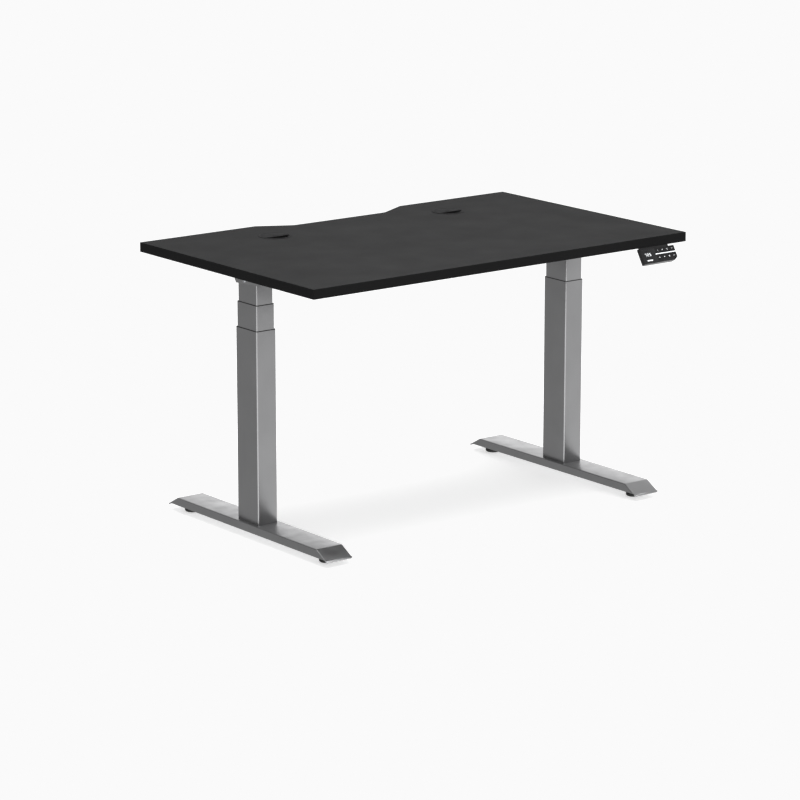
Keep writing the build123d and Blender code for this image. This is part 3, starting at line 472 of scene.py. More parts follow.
BLACK_BOLT = Finish(
    "black_oxide", (0.05, 0.05, 0.052), 0.42, 0.8, mottle=0.15, mottle_size=0.006, smudge=0.1,
    smudge_size=0.004,
)
BRASS_PIN = Finish("contact_brass", (0.62, 0.45, 0.2), 0.3, 1.0, mottle_size=0.003, grain_size=0.0006)
BOX_PLASTIC = Finish(
    "box_plastic", (0.024, 0.024, 0.025), 0.48, specular=0.35, grain_size=0.0008, grain_depth=0.00003
)
BOARD_GREEN = CircuitBoard("circuit_board", (0.012, 0.085, 0.03), 0.35)
KEYPAD_BLACK = Finish(
    "keypad_plastic", (0.016, 0.016, 0.0165), 0.45, specular=0.22, grain_size=0.0005, grain_depth=0.000012
)
KEY_BLACK = Finish(
    "key_plastic", (0.015, 0.015, 0.0155), 0.5, specular=0.2, grain_size=0.0005, grain_depth=0.00001
)
WINDOW = Finish(
    "display_window", (0.018, 0.018, 0.019), 0.3, specular=0.3, mottle=0.04, smudge=0.05, smudge_size=0.01,
    grain_size=0.02, grain_depth=0.000002,
)
WHITE_PRINT = LitPrint("lit_marks", (0.9, 0.92, 0.94), 0.5, grain_size=0.0006)

SLOT_FINISH = {
    "board": TOP_LAMINATE,
    "edge_band": EDGE_STRIP,
    "black_plastic": BLACK_PLASTIC,
    "glide_plastic": GLIDE_PLASTIC,
    "pad_plastic": PAD_RUBBER,
    "grey_steel": FRAME_GREY,
    "bare_steel": BARE_STEEL,
    "screw_steel": SCREW_STEEL,
    "brass_nut": BRASS,
    "cast_head": CAST_METAL,
    "motor_case": MOTOR_ENAMEL,
    "zinc_fasteners": ZINC,
    "box_plastic": BOX_PLASTIC,
    "circuit_board": BOARD_GREEN,
    "keypad_plastic": KEYPAD_BLACK,
    "display_window": WINDOW,
    "key_plastic": KEY_BLACK,
}
SLOT_OF = {row["node"]: row["material_slot"] for row in frame["record"]["subparts"]}


# ----------------------------------------------------------------------------- bench work


def deselect_all() -> None:
    """Leave nothing selected, so that the next operator touches only its own piece."""
    bpy.ops.object.select_all(action="DESELECT")


def make_active(piece: Piece) -> None:
    """Select one piece alone and make it active.

    Args:
        piece: the piece.
    """
    deselect_all()
    piece.select_set(True)
    bpy.context.view_layer.objects.active = piece


def settle(name: str) -> Piece:
    """Name the new primitive and put its place and turn into its mesh.

    Args:
        name: the piece's name.

    Returns:
        The piece, its object at the origin.
    """
    piece = bpy.context.object
    piece.name = name
    piece.data.name = name
    bpy.ops.object.transform_apply(location=True, rotation=True, scale=True)
    return piece


def block(name: str, size: Point, centre: Point, turn: Point = (0, 0, 0)) -> Piece:
    """Start a piece from a box.

    Args:
        name: the piece's name.
        size: length along each of its own axes.
        centre: its middle.
        turn: its turn about X, Y and Z.

    Returns:
        The piece.
    """
    deselect_all()
    bpy.ops.mesh.primitive_cube_add(size=1, location=centre, rotation=turn, scale=size)
    return settle(name)


def rod(
    name: str, radius: float, length: float, centre: Point, turn: Point = (0, 0, 0), sides: int = 48
) -> Piece:
    """Start a piece from a cylinder.

    Args:
        name: the piece's name.
        radius: its radius.
        length: its length along its own Z axis.
        centre: its middle.
        turn: its turn about X, Y and Z.
        sides: number of side faces.

    Returns:
        The piece.
    """
    deselect_all()
    bpy.ops.mesh.primitive_cylinder_add(
        vertices=sides, radius=radius, depth=length, location=centre, rotation=turn
    )
    return settle(name)


@contextmanager
def editing(piece: Piece, part: Part) -> Iterator[None]:
    """Edit one piece with nothing selected at first.

    Args:
        piece: the piece.
        part: whether vertices, edges or faces are selected.

    Yields:
        Once, while the piece is in edit mode.
    """
    make_active(piece)
    bpy.ops.object.mode_set(mode="EDIT")
    bpy.ops.mesh.select_mode(type=part.value)
    bpy.ops.mesh.select_all(action="DESELECT")
    yield
    bpy.ops.object.mode_set(mode="OBJECT")


def middle(item: bmesh.types.BMVert | bmesh.types.BMEdge | bmesh.types.BMFace) -> Vector:
    """The middle of a vertex, an edge or a face.

    Args:
        item: which of them.

    Returns:
        Its middle.
    """
    if isinstance(item, bmesh.types.BMVert):
        return item.co
    return sum((v.co for v in item.verts), Vector()) / len(item.verts)


def pick(piece: Piece, part: Part, rule: Callable[..., bool]) -> int:
    """Select what a rule accepts, and nothing else, on the piece in edit mode.

    Args:
        piece: the piece in edit mode.
        part: whether the rule is asked about vertices, edges or faces.
        rule: says of one of them whether it is selected.

    Returns:
        How many are selected.
    """
    bpy.ops.mesh.select_all(action="DESELECT")
    mesh = bmesh.from_edit_mesh(piece.data)
    items = {Part.VERTEX: mesh.verts, Part.EDGE: mesh.edges, Part.FACE: mesh.faces}[part]
    chosen = [item for item in items if rule(item)]
    for item in chosen:
        item.select_set(True)
    mesh.select_flush_mode()
    bmesh.update_edit_mesh(piece.data)
    return len(chosen)


def along(edge: bmesh.types.BMEdge, axis: int) -> bool:
    """Whether an edge runs along X (0), Y (1) or Z (2)."""
    run = edge.verts[1].co - edge.verts[0].co
    return abs(run[axis]) > 0.999 * run.length


def machine(piece: Piece, kind: str, **settings: object) -> Piece:
    """Put a modifier on a piece and apply it.

    Args:
        piece: the piece.
        kind: the modifier's type.
        settings: the modifier's properties.

    Returns:
        The same piece.
    """
    make_active(piece)
    modifier = piece.modifiers.new(kind.lower(), kind)
    for key, value in settings.items():
        setattr(modifier, key, value)
    bpy.ops.object.modifier_apply(modifier=modifier.name)
    return piece


def ease_edges(piece: Piece, width: float, segments: int = 2, angle: float = 35.0) -> Piece:
    """Break the sharp edges of a piece.

    Args:
        piece: the piece.
        width: width of the bevel.
        segments: how many faces the bevel has.
        angle: an edge that folds by more than this many degrees is sharp.

    Returns:
        The same piece.
    """
    return machine(
        piece, "BEVEL", width=width, segments=segments, limit_method="ANGLE",
        angle_limit=radians(angle), use_clamp_overlap=True, harden_normals=False,
    )


def tidy_shell(piece: Piece) -> Piece:
    """Merge doubled vertices and turn every face outwards.

    Args:
        piece: the piece.

    Returns:
        The same piece.
    """
    with editing(piece, Part.VERTEX):
        bpy.ops.mesh.select_all(action="SELECT")
        bpy.ops.mesh.remove_doubles(threshold=DOUBLE_POINTS / 2)
        bpy.ops.mesh.normals_make_consistent(inside=False)
    return piece


def turned(
    name: str, profile: Sequence[tuple[float, float]], centre: Point, axis: Point = (0, 0, 1), steps: int = 48
) -> Piece:
    """Turn a piece on a lathe: a profile drawn point by point and spun about its axis.

    Args:
        name: the piece's name.
        profile: (radius, height) points from the axis round to the axis.
        centre: the point on the axis where height is 0.
        axis: direction of height.
        steps: faces round the axis.

    Returns:
        The piece.
    """
    up = Vector(axis).normalized()
    out = up.orthogonal().normalized()
    points = [Vector(centre) + out * r + up * h for r, h in profile]
    deselect_all()
    bpy.ops.mesh.primitive_plane_add(size=MM, location=(0, 0, 0))
    piece = settle(name)
    with editing(piece, Part.VERTEX):
        bpy.ops.mesh.select_all(action="SELECT")
        bpy.ops.mesh.merge(type="CENTER")
        bpy.ops.mesh.select_all(action="SELECT")
        bpy.ops.transform.translate(value=points[0])
        for before, after in zip(points, points[1:]):
            bpy.ops.mesh.extrude_region_move(TRANSFORM_OT_translate={"value": after - before})
        bpy.ops.mesh.select_all(action="SELECT")
        bpy.ops.mesh.spin(steps=steps, angle=2 * pi, center=centre, axis=up)
    return tidy_shell(piece)


def rounded_block(name: str, size: Point, centre: Point, corner: float) -> Piece:
    """A box whose four upright edges are rounded.

    Args:
        name: the piece's name.
        size: its size along X, Y and Z.
        centre: its middle.
        corner: radius of the upright edges.

    Returns:
        The new piece.
    """
    piece = block(name, size, centre)
    with editing(piece, Part.EDGE):
        pick(piece, Part.EDGE, lambda edge: along(edge, 2))
        bpy.ops.mesh.bevel(offset=corner, segments=6, affect="EDGES")
    return piece


def softened_copy(
    node: str, width: float, name: str, segments: int = 2, angle: float = 35.0, merged: bool = True
) -> Piece:
    """Copy a CAD node's shape and break its sharp edges.

    Args:
        node: the CAD node.
        width: width of the bevels.
        name: the piece's name.
        segments: faces in each bevel.
        angle: least fold, in degrees, of an edge that is bevelled.
        merged: whether flat areas become single faces first; not for plates with large holes.

    Returns:
        The new piece.
    """
    source = frame["nodes"][node]
    piece = bpy.data.objects.new(name, source.data.copy())
    bpy.context.scene.collection.objects.link(piece)
    piece.data.materials.clear()
    with editing(piece, Part.VERTEX):
        bpy.ops.mesh.select_all(action="SELECT")
        bpy.ops.mesh.remove_doubles(threshold=DOUBLE_POINTS)
        if merged:
            bpy.ops.mesh.dissolve_limited(angle_limit=radians(0.5))
    if "sharp_face" in piece.data.attributes:
        piece.data.attributes.remove(piece.data.attributes["sharp_face"])
    return ease_edges(piece, width, segments, angle)


def carve(piece: Piece, cutters: Sequence[Piece]) -> Piece:
    """Cut shapes out of a piece and throw the cutters away.

    Args:
        piece: the piece.
        cutters: closed shapes to take out of it.

    Returns:
        The same piece.
    """
    for cutter in cutters:
        machine(piece, "BOOLEAN", operation="DIFFERENCE", object=cutter, solver="EXACT")
        bpy.data.objects.remove(cutter)
    return piece


def joined(name: str, pieces: Sequence[Piece]) -> Piece:
    """Join several pieces into one.

    Args:
        name: name of the result.
        pieces: the pieces, which become part of the first.

    Returns:
        The joined piece.
    """
    deselect_all()
    for piece in pieces:
        piece.select_set(True)
    bpy.context.view_layer.objects.active = pieces[0]
    if len(pieces) > 1:
        bpy.ops.object.join()
    pieces[0].name = name
    pieces[0].data.name = name
    return pieces[0]


def copied(piece: Piece, move: Matrix, name: str) -> Piece:
    """Copy a piece with its own mesh.

    Args:
        piece: the piece to copy.
        move: where the copy's mesh goes.
        name: the copy's name.

    Returns:
        The copy.
    """
    twin = piece.copy()
    twin.data = piece.data.copy()
    twin.data.transform(move)
    twin.name = name
    bpy.context.scene.collection.objects.link(twin)
    return twin


def dress(piece: Piece, finish: Finish, smooth: float = 32.0) -> Piece:
    """Give a new piece its finish and smooth shading.

    Args:
        piece: the piece.
        finish: its finish.
        smooth: edges that fold by less than this many degrees are shaded round.

    Returns:
        The same piece.
    """
    piece.data.materials.clear()
    piece.data.materials.append(finish.material())
    make_active(piece)
    bpy.ops.object.shade_smooth_by_angle(angle=radians(smooth))
    return piece


def seat(piece: Piece, node: str, finish: Finish | None = None, replaces: bool = True) -> Piece:
    """Put a dressed piece on the body of a CAD node, in its place or beside it.

    Args:
        piece: the piece.
        node: the CAD node that it belongs to.
        finish: its finish, or None for the finish of the node's slot.
        replaces: whether it stands for the node.

    Returns:
        The same piece.
    """
    dress(piece, finish or SLOT_FINISH[SLOT_OF[node]])
    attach(piece, frame["nodes"][node]["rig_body"])
    if replaces:
        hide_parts(node)
    return piece


def dress_node(node: str) -> None:
    """Give a CAD node that stays the finish of its slot.

    Args:
        node: the CAD node.
    """
    materials = frame["nodes"][node].data.materials
    materials.clear()
    materials.append(SLOT_FINISH[SLOT_OF[node]].material())


def node_middle(node: str) -> Vector:
    """The middle of a CAD node's box."""
    low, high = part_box(node)
    return (low + high) / 2


# ----------------------------------------------------------------------------- studio


@dataclass
class Studio:
    """Camera, pale floor and soft light."""

    azimuth: float = -37.73
    elevation: float = 13.71
    distance: float = 8.813
    aim: tuple[float, float, float] = (0.0, 0.075, 0.2662)
    lens: float = 151.17
    sensor: float = 36.0
    floor_size: float = 120.0
    floor_drop: float = 0.0002
    floor_glow: float = 0.545
    floor_white: float = 0.85
    paper_white: float = 0.956
    softbox_size: float = 2.4
    softbox_height: float = 2.6
    softbox_power: float = 60.0
    dome_strength: float = 2.5
    dome_facing: tuple[float, float, float] = (0.55, -0.835, 0.0)
    dome_tones: tuple[tuple[float, float], ...] = (
        (0.0, 0.17), (0.15, 0.2), (0.34, 0.66), (0.55, 0.85), (1.0, 0.36)
    )
    dome_crown: float = 0.33
    dome_heights: tuple[float, float] = (0.15, 0.7)

    def camera(self) -> None:
        """Stand the camera at the front left, a little above the desktop's height."""
        a, e = radians(self.azimuth), radians(self.elevation)
        back = Vector((sin(a) * cos(e), -cos(a) * cos(e), sin(e)))
        bpy.ops.object.camera_add(location=Vector(self.aim) + back * self.distance)
        camera = bpy.context.object
        camera.name = "studio_camera"
        camera.data.lens = self.lens
        camera.data.sensor_width = self.sensor
        camera.data.clip_end = 2 * self.floor_size
        camera.rotation_mode = "QUATERNION"
        camera.rotation_quaternion = (-back).to_track_quat("-Z", "Y")
        bpy.context.scene.camera = camera

    def floor(self) -> None:
        """Lay a wide white floor that is lit a little from below."""
        deselect_all()
        bpy.ops.mesh.primitive_plane_add(size=self.floor_size, location=(0, 0, -self.floor_drop))
        floor = settle("studio_floor")
        floor.visible_glossy = False
        floor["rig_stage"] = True
        shader = Shader("studio_paper")
        inputs = shader.surface.inputs
        inputs["Base Color"].default_value = (*[self.floor_white] * 3, 1)
        inputs["Roughness"].default_value = 0.9
        inputs["Specular IOR Level"].default_value = 0.0
        inputs["Emission Color"].default_value = (1, 1, 1, 1)
        inputs["Emission Strength"].default_value = self.floor_glow
        floor.data.materials.append(shader.material)

    def softbox(self) -> None:
        """Hang a square softbox over the desk."""
        middle_y = CAD_BOX[0].y / 2 + CAD_BOX[1].y / 2
        bpy.ops.object.light_add(type="AREA", location=(0, middle_y, self.softbox_height))
        box = bpy.context.object
        box.name = "studio_softbox"
        box.data.shape = "SQUARE"
        box.data.size = self.softbox_size
        box.data.energy = self.softbox_power

    def dome(self) -> None:
        """Surround the desk with a dome, brightest low down in front and dark behind on the left."""
        world = bpy.data.worlds.new("studio_dome")
        bpy.context.scene.world = world
        world.use_nodes = True
        tree = world.node_tree
        background = tree.nodes["Background"]
        background.inputs["Strength"].default_value = self.dome_strength
        coords = tree.nodes.new("ShaderNodeTexCoord")
        facing = tree.nodes.new("ShaderNodeVectorMath")
        facing.operation = "DOT_PRODUCT"
        facing.inputs[1].default_value = self.dome_facing
        around = tree.nodes.new("ShaderNodeMapRange")
        around.inputs["From Min"].default_value = -1.0
        ramp = tree.nodes.new("ShaderNodeValToRGB")
        ramp.color_ramp.interpolation = "EASE"
        stops = ramp.color_ramp.elements
        while len(stops) < len(self.dome_tones):
            stops.new(0.5)
        for stop, (position, tone) in zip(stops, self.dome_tones):
            stop.position = position
            stop.color = (tone, tone, tone, 1)
        split = tree.nodes.new("ShaderNodeSeparateXYZ")
        height = tree.nodes.new("ShaderNodeMapRange")
        height.interpolation_type = "SMOOTHSTEP"
        height.inputs["From Min"].default_value, height.inputs["From Max"].default_value = self.dome_heights
        height.inputs["To Min"].default_value = 1.0
        height.inputs["To Max"].default_value = self.dome_crown
        product = tree.nodes.new("ShaderNodeMix")
        product.data_type = "RGBA"
        product.blend_type = "MULTIPLY"
        product.inputs["Factor"].default_value = 1.0
        tree.links.new(coords.outputs["Generated"], facing.inputs[0])
        tree.links.new(facing.outputs["Value"], around.inputs["Value"])
        tree.links.new(around.outputs["Result"], ramp.inputs["Fac"])
        tree.links.new(coords.outputs["Generated"], split.inputs["Vector"])
        tree.links.new(split.outputs["Z"], height.inputs["Value"])
        tree.links.new(ramp.outputs["Color"], product.inputs[6])
        tree.links.new(height.outputs["Result"], product.inputs[7])
        tree.links.new(product.outputs[2], background.inputs["Color"])

    def tones(self) -> None:
        """Show plain tones, with the overexposed floor held at the paper's white."""
        view = bpy.context.scene.view_settings
        view.view_transform = "Standard"
        view.use_curve_mapping = True
        view.curve_mapping.extend = "HORIZONTAL"
        view.curve_mapping.curves[3].points[1].location = (1.0, self.paper_white)
        view.curve_mapping.update()

    def build(self) -> None:
        """Set up the camera, the floor, the light and the view of tones."""
        self.camera()
        self.floor()
        self.softbox()
        self.dome()
        self.tones()


# ----------------------------------------------------------------------------- desktop


@dataclass
class Worktop:
    """Laminated board and its glued edge band."""

    band_easing: float = 0.00025

    def build(self) -> None:
        """Dress the board, and round the band's edges finely."""
        dress_node("desktop")
        seat(softened_copy("edge_band", self.band_easing, "edge_banding", 1, 60.0), "edge_band")


@dataclass
class CableGrommet:
    """Flanged ring with a loose cap that leaves room for cables.

    The flange's curves are pairs of a step away from an edge and a share of the flange's rise.
    """

    side: str
    cap_play: float = 0.0003
    ledge_overlap: float = 0.0019
    ledge_depth: float = 0.001
    ledge_thickness: float = 0.002
    ledge_slope: float = 0.0025
    flange_width: float = 0.0036
    throat_step: float = 0.0005
    rim_curve: tuple[tuple[float, float], ...] = ((0.0, 0.35), (0.0006, 0.72), (0.0017, 0.95), (0.0028, 1.0))
    lip_curve: tuple[tuple[float, float], ...] = ((0.0012, 1.0), (0.0004, 0.85), (0.0, 0.5))
    ring_steps: int = 96
    cap_easing: float = 0.0005
    groove_count: int = 3
    groove_length: float = 0.022
    groove_shortening: float = 0.004
    groove_width: float = 0.0008
    groove_depth: float = 0.0004
    groove_pitch: float = 0.003
    first_groove: float = 0.006

    def ring(self) -> None:
        """Turn the ring: a softly rounded flange over a straight sleeve."""
        node = f"grommet_ring_{self.side}"
        low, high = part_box(node)
        centre = node_middle(node)
        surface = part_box("desktop")[1].z
        cap_low, cap_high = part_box(f"grommet_cap_{self.side}")
        cap = (cap_high.x - cap_low.x) / 2
        flange = (high.x - low.x) / 2
        rise, fall = high.z - surface, surface - low.z
        lip = cap + self.cap_play
        ledge = cap - self.ledge_overlap
        sleeve = flange - self.flange_width
        throat = lip + self.throat_step
        ledge_low = -self.ledge_depth - self.ledge_thickness
        profile = [
            (throat, -fall), (sleeve, -fall), (sleeve, 0.0), (flange, 0.0),
            *[(flange - step, rise * share) for step, share in self.rim_curve],
            *[(lip + step, rise * share) for step, share in self.lip_curve],
            (lip, -self.ledge_depth), (ledge, -self.ledge_depth), (ledge, ledge_low),
            (throat, ledge_low - self.ledge_slope), (throat, -fall),
        ]
        place = (centre.x, centre.y, surface)
        seat(turned(f"grommet_flange_{self.side}", profile, place, steps=self.ring_steps), node)

    def cap(self) -> None:
        """Soften the cap's rim and cut grip grooves beside its straight edge."""
        node = f"grommet_cap_{self.side}"
        low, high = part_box(node)
        cap = softened_copy(node, self.cap_easing, f"grommet_lid_{self.side}", 3, 30.0)
        grooves = []
        for index in range(self.groove_count):
            length = self.groove_length - self.groove_shortening * index
            place = ((low.x + high.x) / 2, low.y + self.first_groove + index * self.groove_pitch, high.z)
            size = (length, self.groove_width, 2 * self.groove_depth)
            grooves.append(block(f"groove_{index}", size, place))
        seat(carve(cap, [joined("grip_grooves", grooves)]), node)

    def build(self) -> None:
        """Make the ring and the cap."""
        self.ring()
        self.cap()


# ----------------------------------------------------------------------------- legs


@dataclass
class LiftColumn:
    """Three telescoping steel tubes with plastic collars at their mouths."""

    side: str
    wall: float = 0.0016
    rounds: tuple[tuple[str, float], ...] = (("outer", 0.004), ("middle", 0.0036), ("inner", 0.0032))
    corner_steps: int = 7
    rim_easing: float = 0.0004
    rim_height: float = 0.0015
    bore_step: float = 0.0042
    collar_easing: float = 0.00035

    def tube(self, stage: str, corner: float) -> None:
        """Fold one tube: a box without ends, its corners rounded, then given its wall.

        Args:
            stage: outer, middle or inner.
            corner: outside radius of its corners.
        """
        node = f"{stage}_tube_{self.side}"
        low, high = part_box(node)
        tube = block(f"{stage}_column_{self.side}", high - low, (low + high) / 2)
        with editing(tube, Part.FACE):
            pick(tube, Part.FACE, lambda face: abs(face.normal.z) > 0.9)
            bpy.ops.mesh.delete(type="FACE")
        with editing(tube, Part.EDGE):
            pick(tube, Part.EDGE, lambda edge: along(edge, 2))
            bpy.ops.mesh.bevel(offset=corner, segments=self.corner_steps, affect="EDGES")
            bpy.ops.mesh.select_all(action="SELECT")
            bpy.ops.mesh.normals_make_consistent(inside=False)
        machine(tube, "SOLIDIFY", thickness=self.wall, offset=-1.0, use_even_offset=True, use_rim=True)
        ease_edges(tube, self.rim_easing, 2, 60.0)
        seat(tube, node)

    def collar(self, stage: str, corner: float) -> None:
        """Model the glide at a tube's mouth: a rim on the tube and a skirt inside it.

        Args:
            stage: outer or middle.
            corner: outside radius of the tube's corners.
        """
        node = f"{stage}_glide_{self.side}"
        low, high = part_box(node)
        across, deep, tall = high - low
        middle_x, middle_y, middle_z = (low + high) / 2
        rim_z = high.z - self.rim_height / 2
        name = f"{stage}_collar_{self.side}"
        glide = rounded_block(name, (across, deep, self.rim_height), (middle_x, middle_y, rim_z), corner)
        ease_edges(glide, self.collar_easing, 3, 60.0)
        skirt_size = (across - 2 * self.wall, deep - 2 * self.wall, tall - self.rim_height / 2)
        skirt_z = low.z + skirt_size[2] / 2
        inner = corner - self.wall
        skirt = rounded_block(name + "_skirt", skirt_size, (middle_x, middle_y, skirt_z), inner)
        machine(glide, "BOOLEAN", operation="UNION", object=skirt, solver="EXACT")
        bpy.data.objects.remove(skirt)
        bore_size = (across - self.bore_step, deep - self.bore_step, 2 * tall)
        bore = rounded_block(name + "_bore", bore_size, (middle_x, middle_y, middle_z), inner)
        seat(carve(glide, [bore]), node)

    def build(self) -> None:
        """Make the tubes and their collars."""
        for stage, corner in self.rounds:
            self.tube(stage, corner)
        for stage, corner in self.rounds[:2]:
            self.collar(stage, corner)


@dataclass
class TFoot:
    """Folded steel foot, open below, with a slanted toe plate at each end."""

    side: str
    sheet: float = 0.003
    flat_half: float = 0.304
    side_low: float = 0.019
    toe_reach: float = 0.0435
    toe_drop: float = 0.0245
    fold_round: float = 0.0025
    fold_steps: int = 4
    toe_corner: float = 0.004
    edge_easing: float = 0.0004
    match: float = 1e-5
    tip_match: float = 1e-4

    def build(self) -> None:
        """Fold the foot from a box whose floor is taken out."""
        node = f"foot_{self.side}"
        low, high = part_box(node)
        centre = Vector(((low.x + high.x) / 2, (low.y + high.y) / 2, 0))
        height = high.z - self.side_low
        size = (high.x - low.x, 2 * self.flat_half, height)
        foot = block(f"t_foot_{self.side}", size, (centre.x, centre.y, high.z - height / 2))
        with editing(foot, Part.FACE):
            pick(foot, Part.FACE, lambda face: face.normal.z < -0.9)
            bpy.ops.mesh.delete(type="FACE")
        for end in ENDS.values():
            self.slant_end(foot, high, centre, end)
        self.round_toes(foot, high, centre)
        self.round_folds(foot, high, centre)
        machine(foot, "SOLIDIFY", thickness=self.sheet, offset=-1.0, use_even_offset=True, use_rim=True)
        ease_edges(foot, self.edge_easing, 2, 50.0)
        seat(foot, node)

    def slant_end(self, foot: Piece, high: Vector, centre: Vector, end: int) -> None:
        """Slant an end wall into a toe plate and pull its lip out below the side walls.

        Args:
            foot: the foot.
            high: highest corner of the foot's box.
            centre: the foot's middle.
            end: -1 for the front and 1 for the rear.
        """
        run = (high.z - self.side_low) * self.toe_reach / self.toe_drop
        lip_y = self.toe_reach - run
        lip_z = high.z - self.toe_drop - self.side_low
        end_y = centre.y + end * self.flat_half

        def is_end(edge: bmesh.types.BMEdge) -> bool:
            """Whether an edge is the lower edge of this end's wall."""
            spot = middle(edge)
            return along(edge, 0) and spot.z < self.side_low + self.match and abs(spot.y - end_y) < self.match

        with editing(foot, Part.EDGE):
            pick(foot, Part.EDGE, is_end)
            bpy.ops.transform.translate(value=(0, end * run, 0))
            bpy.ops.mesh.extrude_region_move(TRANSFORM_OT_translate={"value": (0, end * lip_y, lip_z)})

    def round_toes(self, foot: Piece, high: Vector, centre: Vector) -> None:
        """Round the lower corners of both toe plates.

        Args:
            foot: the foot.
            high: highest corner of the foot's box.
            centre: the foot's middle.
        """
        tip_y = high.y - centre.y
        with editing(foot, Part.VERTEX):
            pick(foot, Part.VERTEX, lambda vertex: abs(abs(vertex.co.y - centre.y) - tip_y) < self.tip_match)
            bpy.ops.mesh.bevel(offset=self.toe_corner, segments=4, affect="VERTICES")

    def round_folds(self, foot: Piece, high: Vector, centre: Vector) -> None:
        """Round every fold of the sheet.

        Args:
            foot: the foot.
            high: highest corner of the foot's box.
            centre: the foot's middle.
        """
        half = high.x - centre.x

        def is_fold(edge: bmesh.types.BMEdge) -> bool:
            """Whether an edge is a fold round the top or down a side of a toe plate.

            Args:
                edge: the edge.

            Returns:
                True for such a fold.
            """
            spot = middle(edge)
            on_top = spot.z > high.z - self.match
            at_side = abs(abs(spot.x - centre.x) - half) < self.match
            down_toe = at_side and abs(spot.y - centre.y) > self.flat_half
            return on_top or (down_toe and len(edge.link_faces) == 2 and not along(edge, 1))

        with editing(foot, Part.EDGE):
            pick(foot, Part.EDGE, is_fold)
            bpy.ops.mesh.bevel(offset=self.fold_round, segments=self.fold_steps, affect="EDGES")
            bpy.ops.mesh.select_all(action="SELECT")
            bpy.ops.mesh.normals_make_consistent(inside=False)


@dataclass
class LevellingPad:
    """Moulded glide on a threaded stud.

    Its curves are pairs of an inward step and a height, from the pad's edge or from its hub.
    """

    end: str
    side: str
    pad_steps: int = 48
    sole_curve: tuple[tuple[float, float], ...] = (
        (0.0045, 0), (0.0024, 0.0006), (0.0006, 0.0024), (0, 0.0045)
    )
    edge_height: float = 0.009
    edge_chamfer: float = 0.0012
    hub_radius: float = 0.009
    hub_height: float = 0.018
    hub_curve: tuple[tuple[float, float], ...] = ((-0.003, 0.0022), (-0.0006, 0.0034), (0, 0.005))
    hub_chamfer: float = 0.001
    stud_radius: float = 0.004
    stud_sunk: float = 0.002
    stud_point: float = 0.001
    stud_steps: int = 28
    pitch: float = 0.00125
    thread_depth: float = 0.0006

    def node(self) -> str:
        """Name of its CAD node."""
        return f"levelling_pad_{self.end}_{self.side}"

    def pad(self, radius: float, foot: Point) -> Piece:
        """Turn the moulded pad.

        Args:
            radius: the pad's radius.
            foot: the point of its axis on the floor.

        Returns:
            The pad.
        """
        hub, edge, top = self.hub_radius, self.edge_height, self.hub_height
        profile = [
            (0, 0), *[(radius - step, height) for step, height in self.sole_curve],
            (radius, edge - self.edge_chamfer), (radius - self.edge_chamfer, edge),
            *[(hub - step, edge + height) for step, height in self.hub_curve],
            (hub, top - self.hub_chamfer), (hub - self.hub_chamfer, top), (0, top),
        ]
        return turned(f"glide_{self.end}_{self.side}", profile, foot, steps=self.pad_steps)

    def stud(self, height: float, foot: Point) -> Piece:
        """Turn the threaded stud.

        Args:
            height: height of the stud's end above the floor.
            foot: the point of its axis on the floor.

        Returns:
            The stud.
        """
        start, root = self.hub_height - self.stud_sunk, self.stud_radius - self.thread_depth
        thread = [(0, start)]
        for turn in range(int((height - self.hub_height) / self.pitch) - 1):
            level = start + turn * self.pitch
            thread += [(root, level), (self.stud_radius, level + self.pitch / 2)]
        thread += [(self.stud_radius - self.stud_point, height), (0, height)]
        return turned(f"stud_{self.end}_{self.side}", thread, foot, steps=self.stud_steps)

    def build(self) -> None:
        """Make the pad and its stud."""
        low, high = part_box(self.node())
        centre = (low + high) / 2
        foot = (centre.x, centre.y, low.z)
        pad = self.pad(high.x - centre.x, foot)
        stud = self.stud(high.z - low.z, foot)
        seat(pad, self.node())
        seat(stud, self.node(), ZINC)


# ----------------------------------------------------------------------------- fasteners


@dataclass(frozen=True)
class ScrewHead:
    """Domed head with a driving socket, turned once and copied."""

    radius: float
    height: float
    socket: float
    socket_sides: int = 6
    socket_depth: float = 0.0018
    seat_chamfer: float = 0.0002
    straight_share: float = 0.35
    dome_angles: tuple[float, ...] = (0.0, 0.45, 0.85, 1.2)
    steps: int = 24

    def model(self, name: str) -> Piece:
        """Turn the head about Z on its seat at the origin and cut its socket.

        Args:
            name: the head's name.

        Returns:
            The head.
        """
        radius, height, chamfer = self.radius, self.height, self.seat_chamfer
        straight = self.straight_share * height
        dome = [(radius * cos(a), straight + (height - straight) * sin(a)) for a in self.dome_angles]
        profile = [(0, 0), (radius - chamfer, 0), (radius, chamfer), *dome, (0, height)]
        head = turned(name, profile, (0, 0, 0), steps=self.steps)
        key = rod(name + "_key", self.socket, 2 * self.socket_depth, (0, 0, height), sides=self.socket_sides)
        return carve(head, [key])

    def spread(self, name: str, seats: Sequence[tuple[Point, Point]]) -> Piece:
        """Copy the head to every seat and join the copies.

        Args:
            name: the joined piece's name.
            seats: (point, outward direction) of each head.

        Returns:
            The joined heads.
        """
        pattern = self.model(name + "_pattern")
        heads = []
        for index, (point, outward) in enumerate(seats):
            turn = Vector(outward).to_track_quat("Z", "Y").to_matrix().to_4x4()
            heads.append(copied(pattern, Matrix.Translation(point) @ turn, f"{name}_{index}"))
        bpy.data.objects.remove(pattern)
        return joined(name, heads)


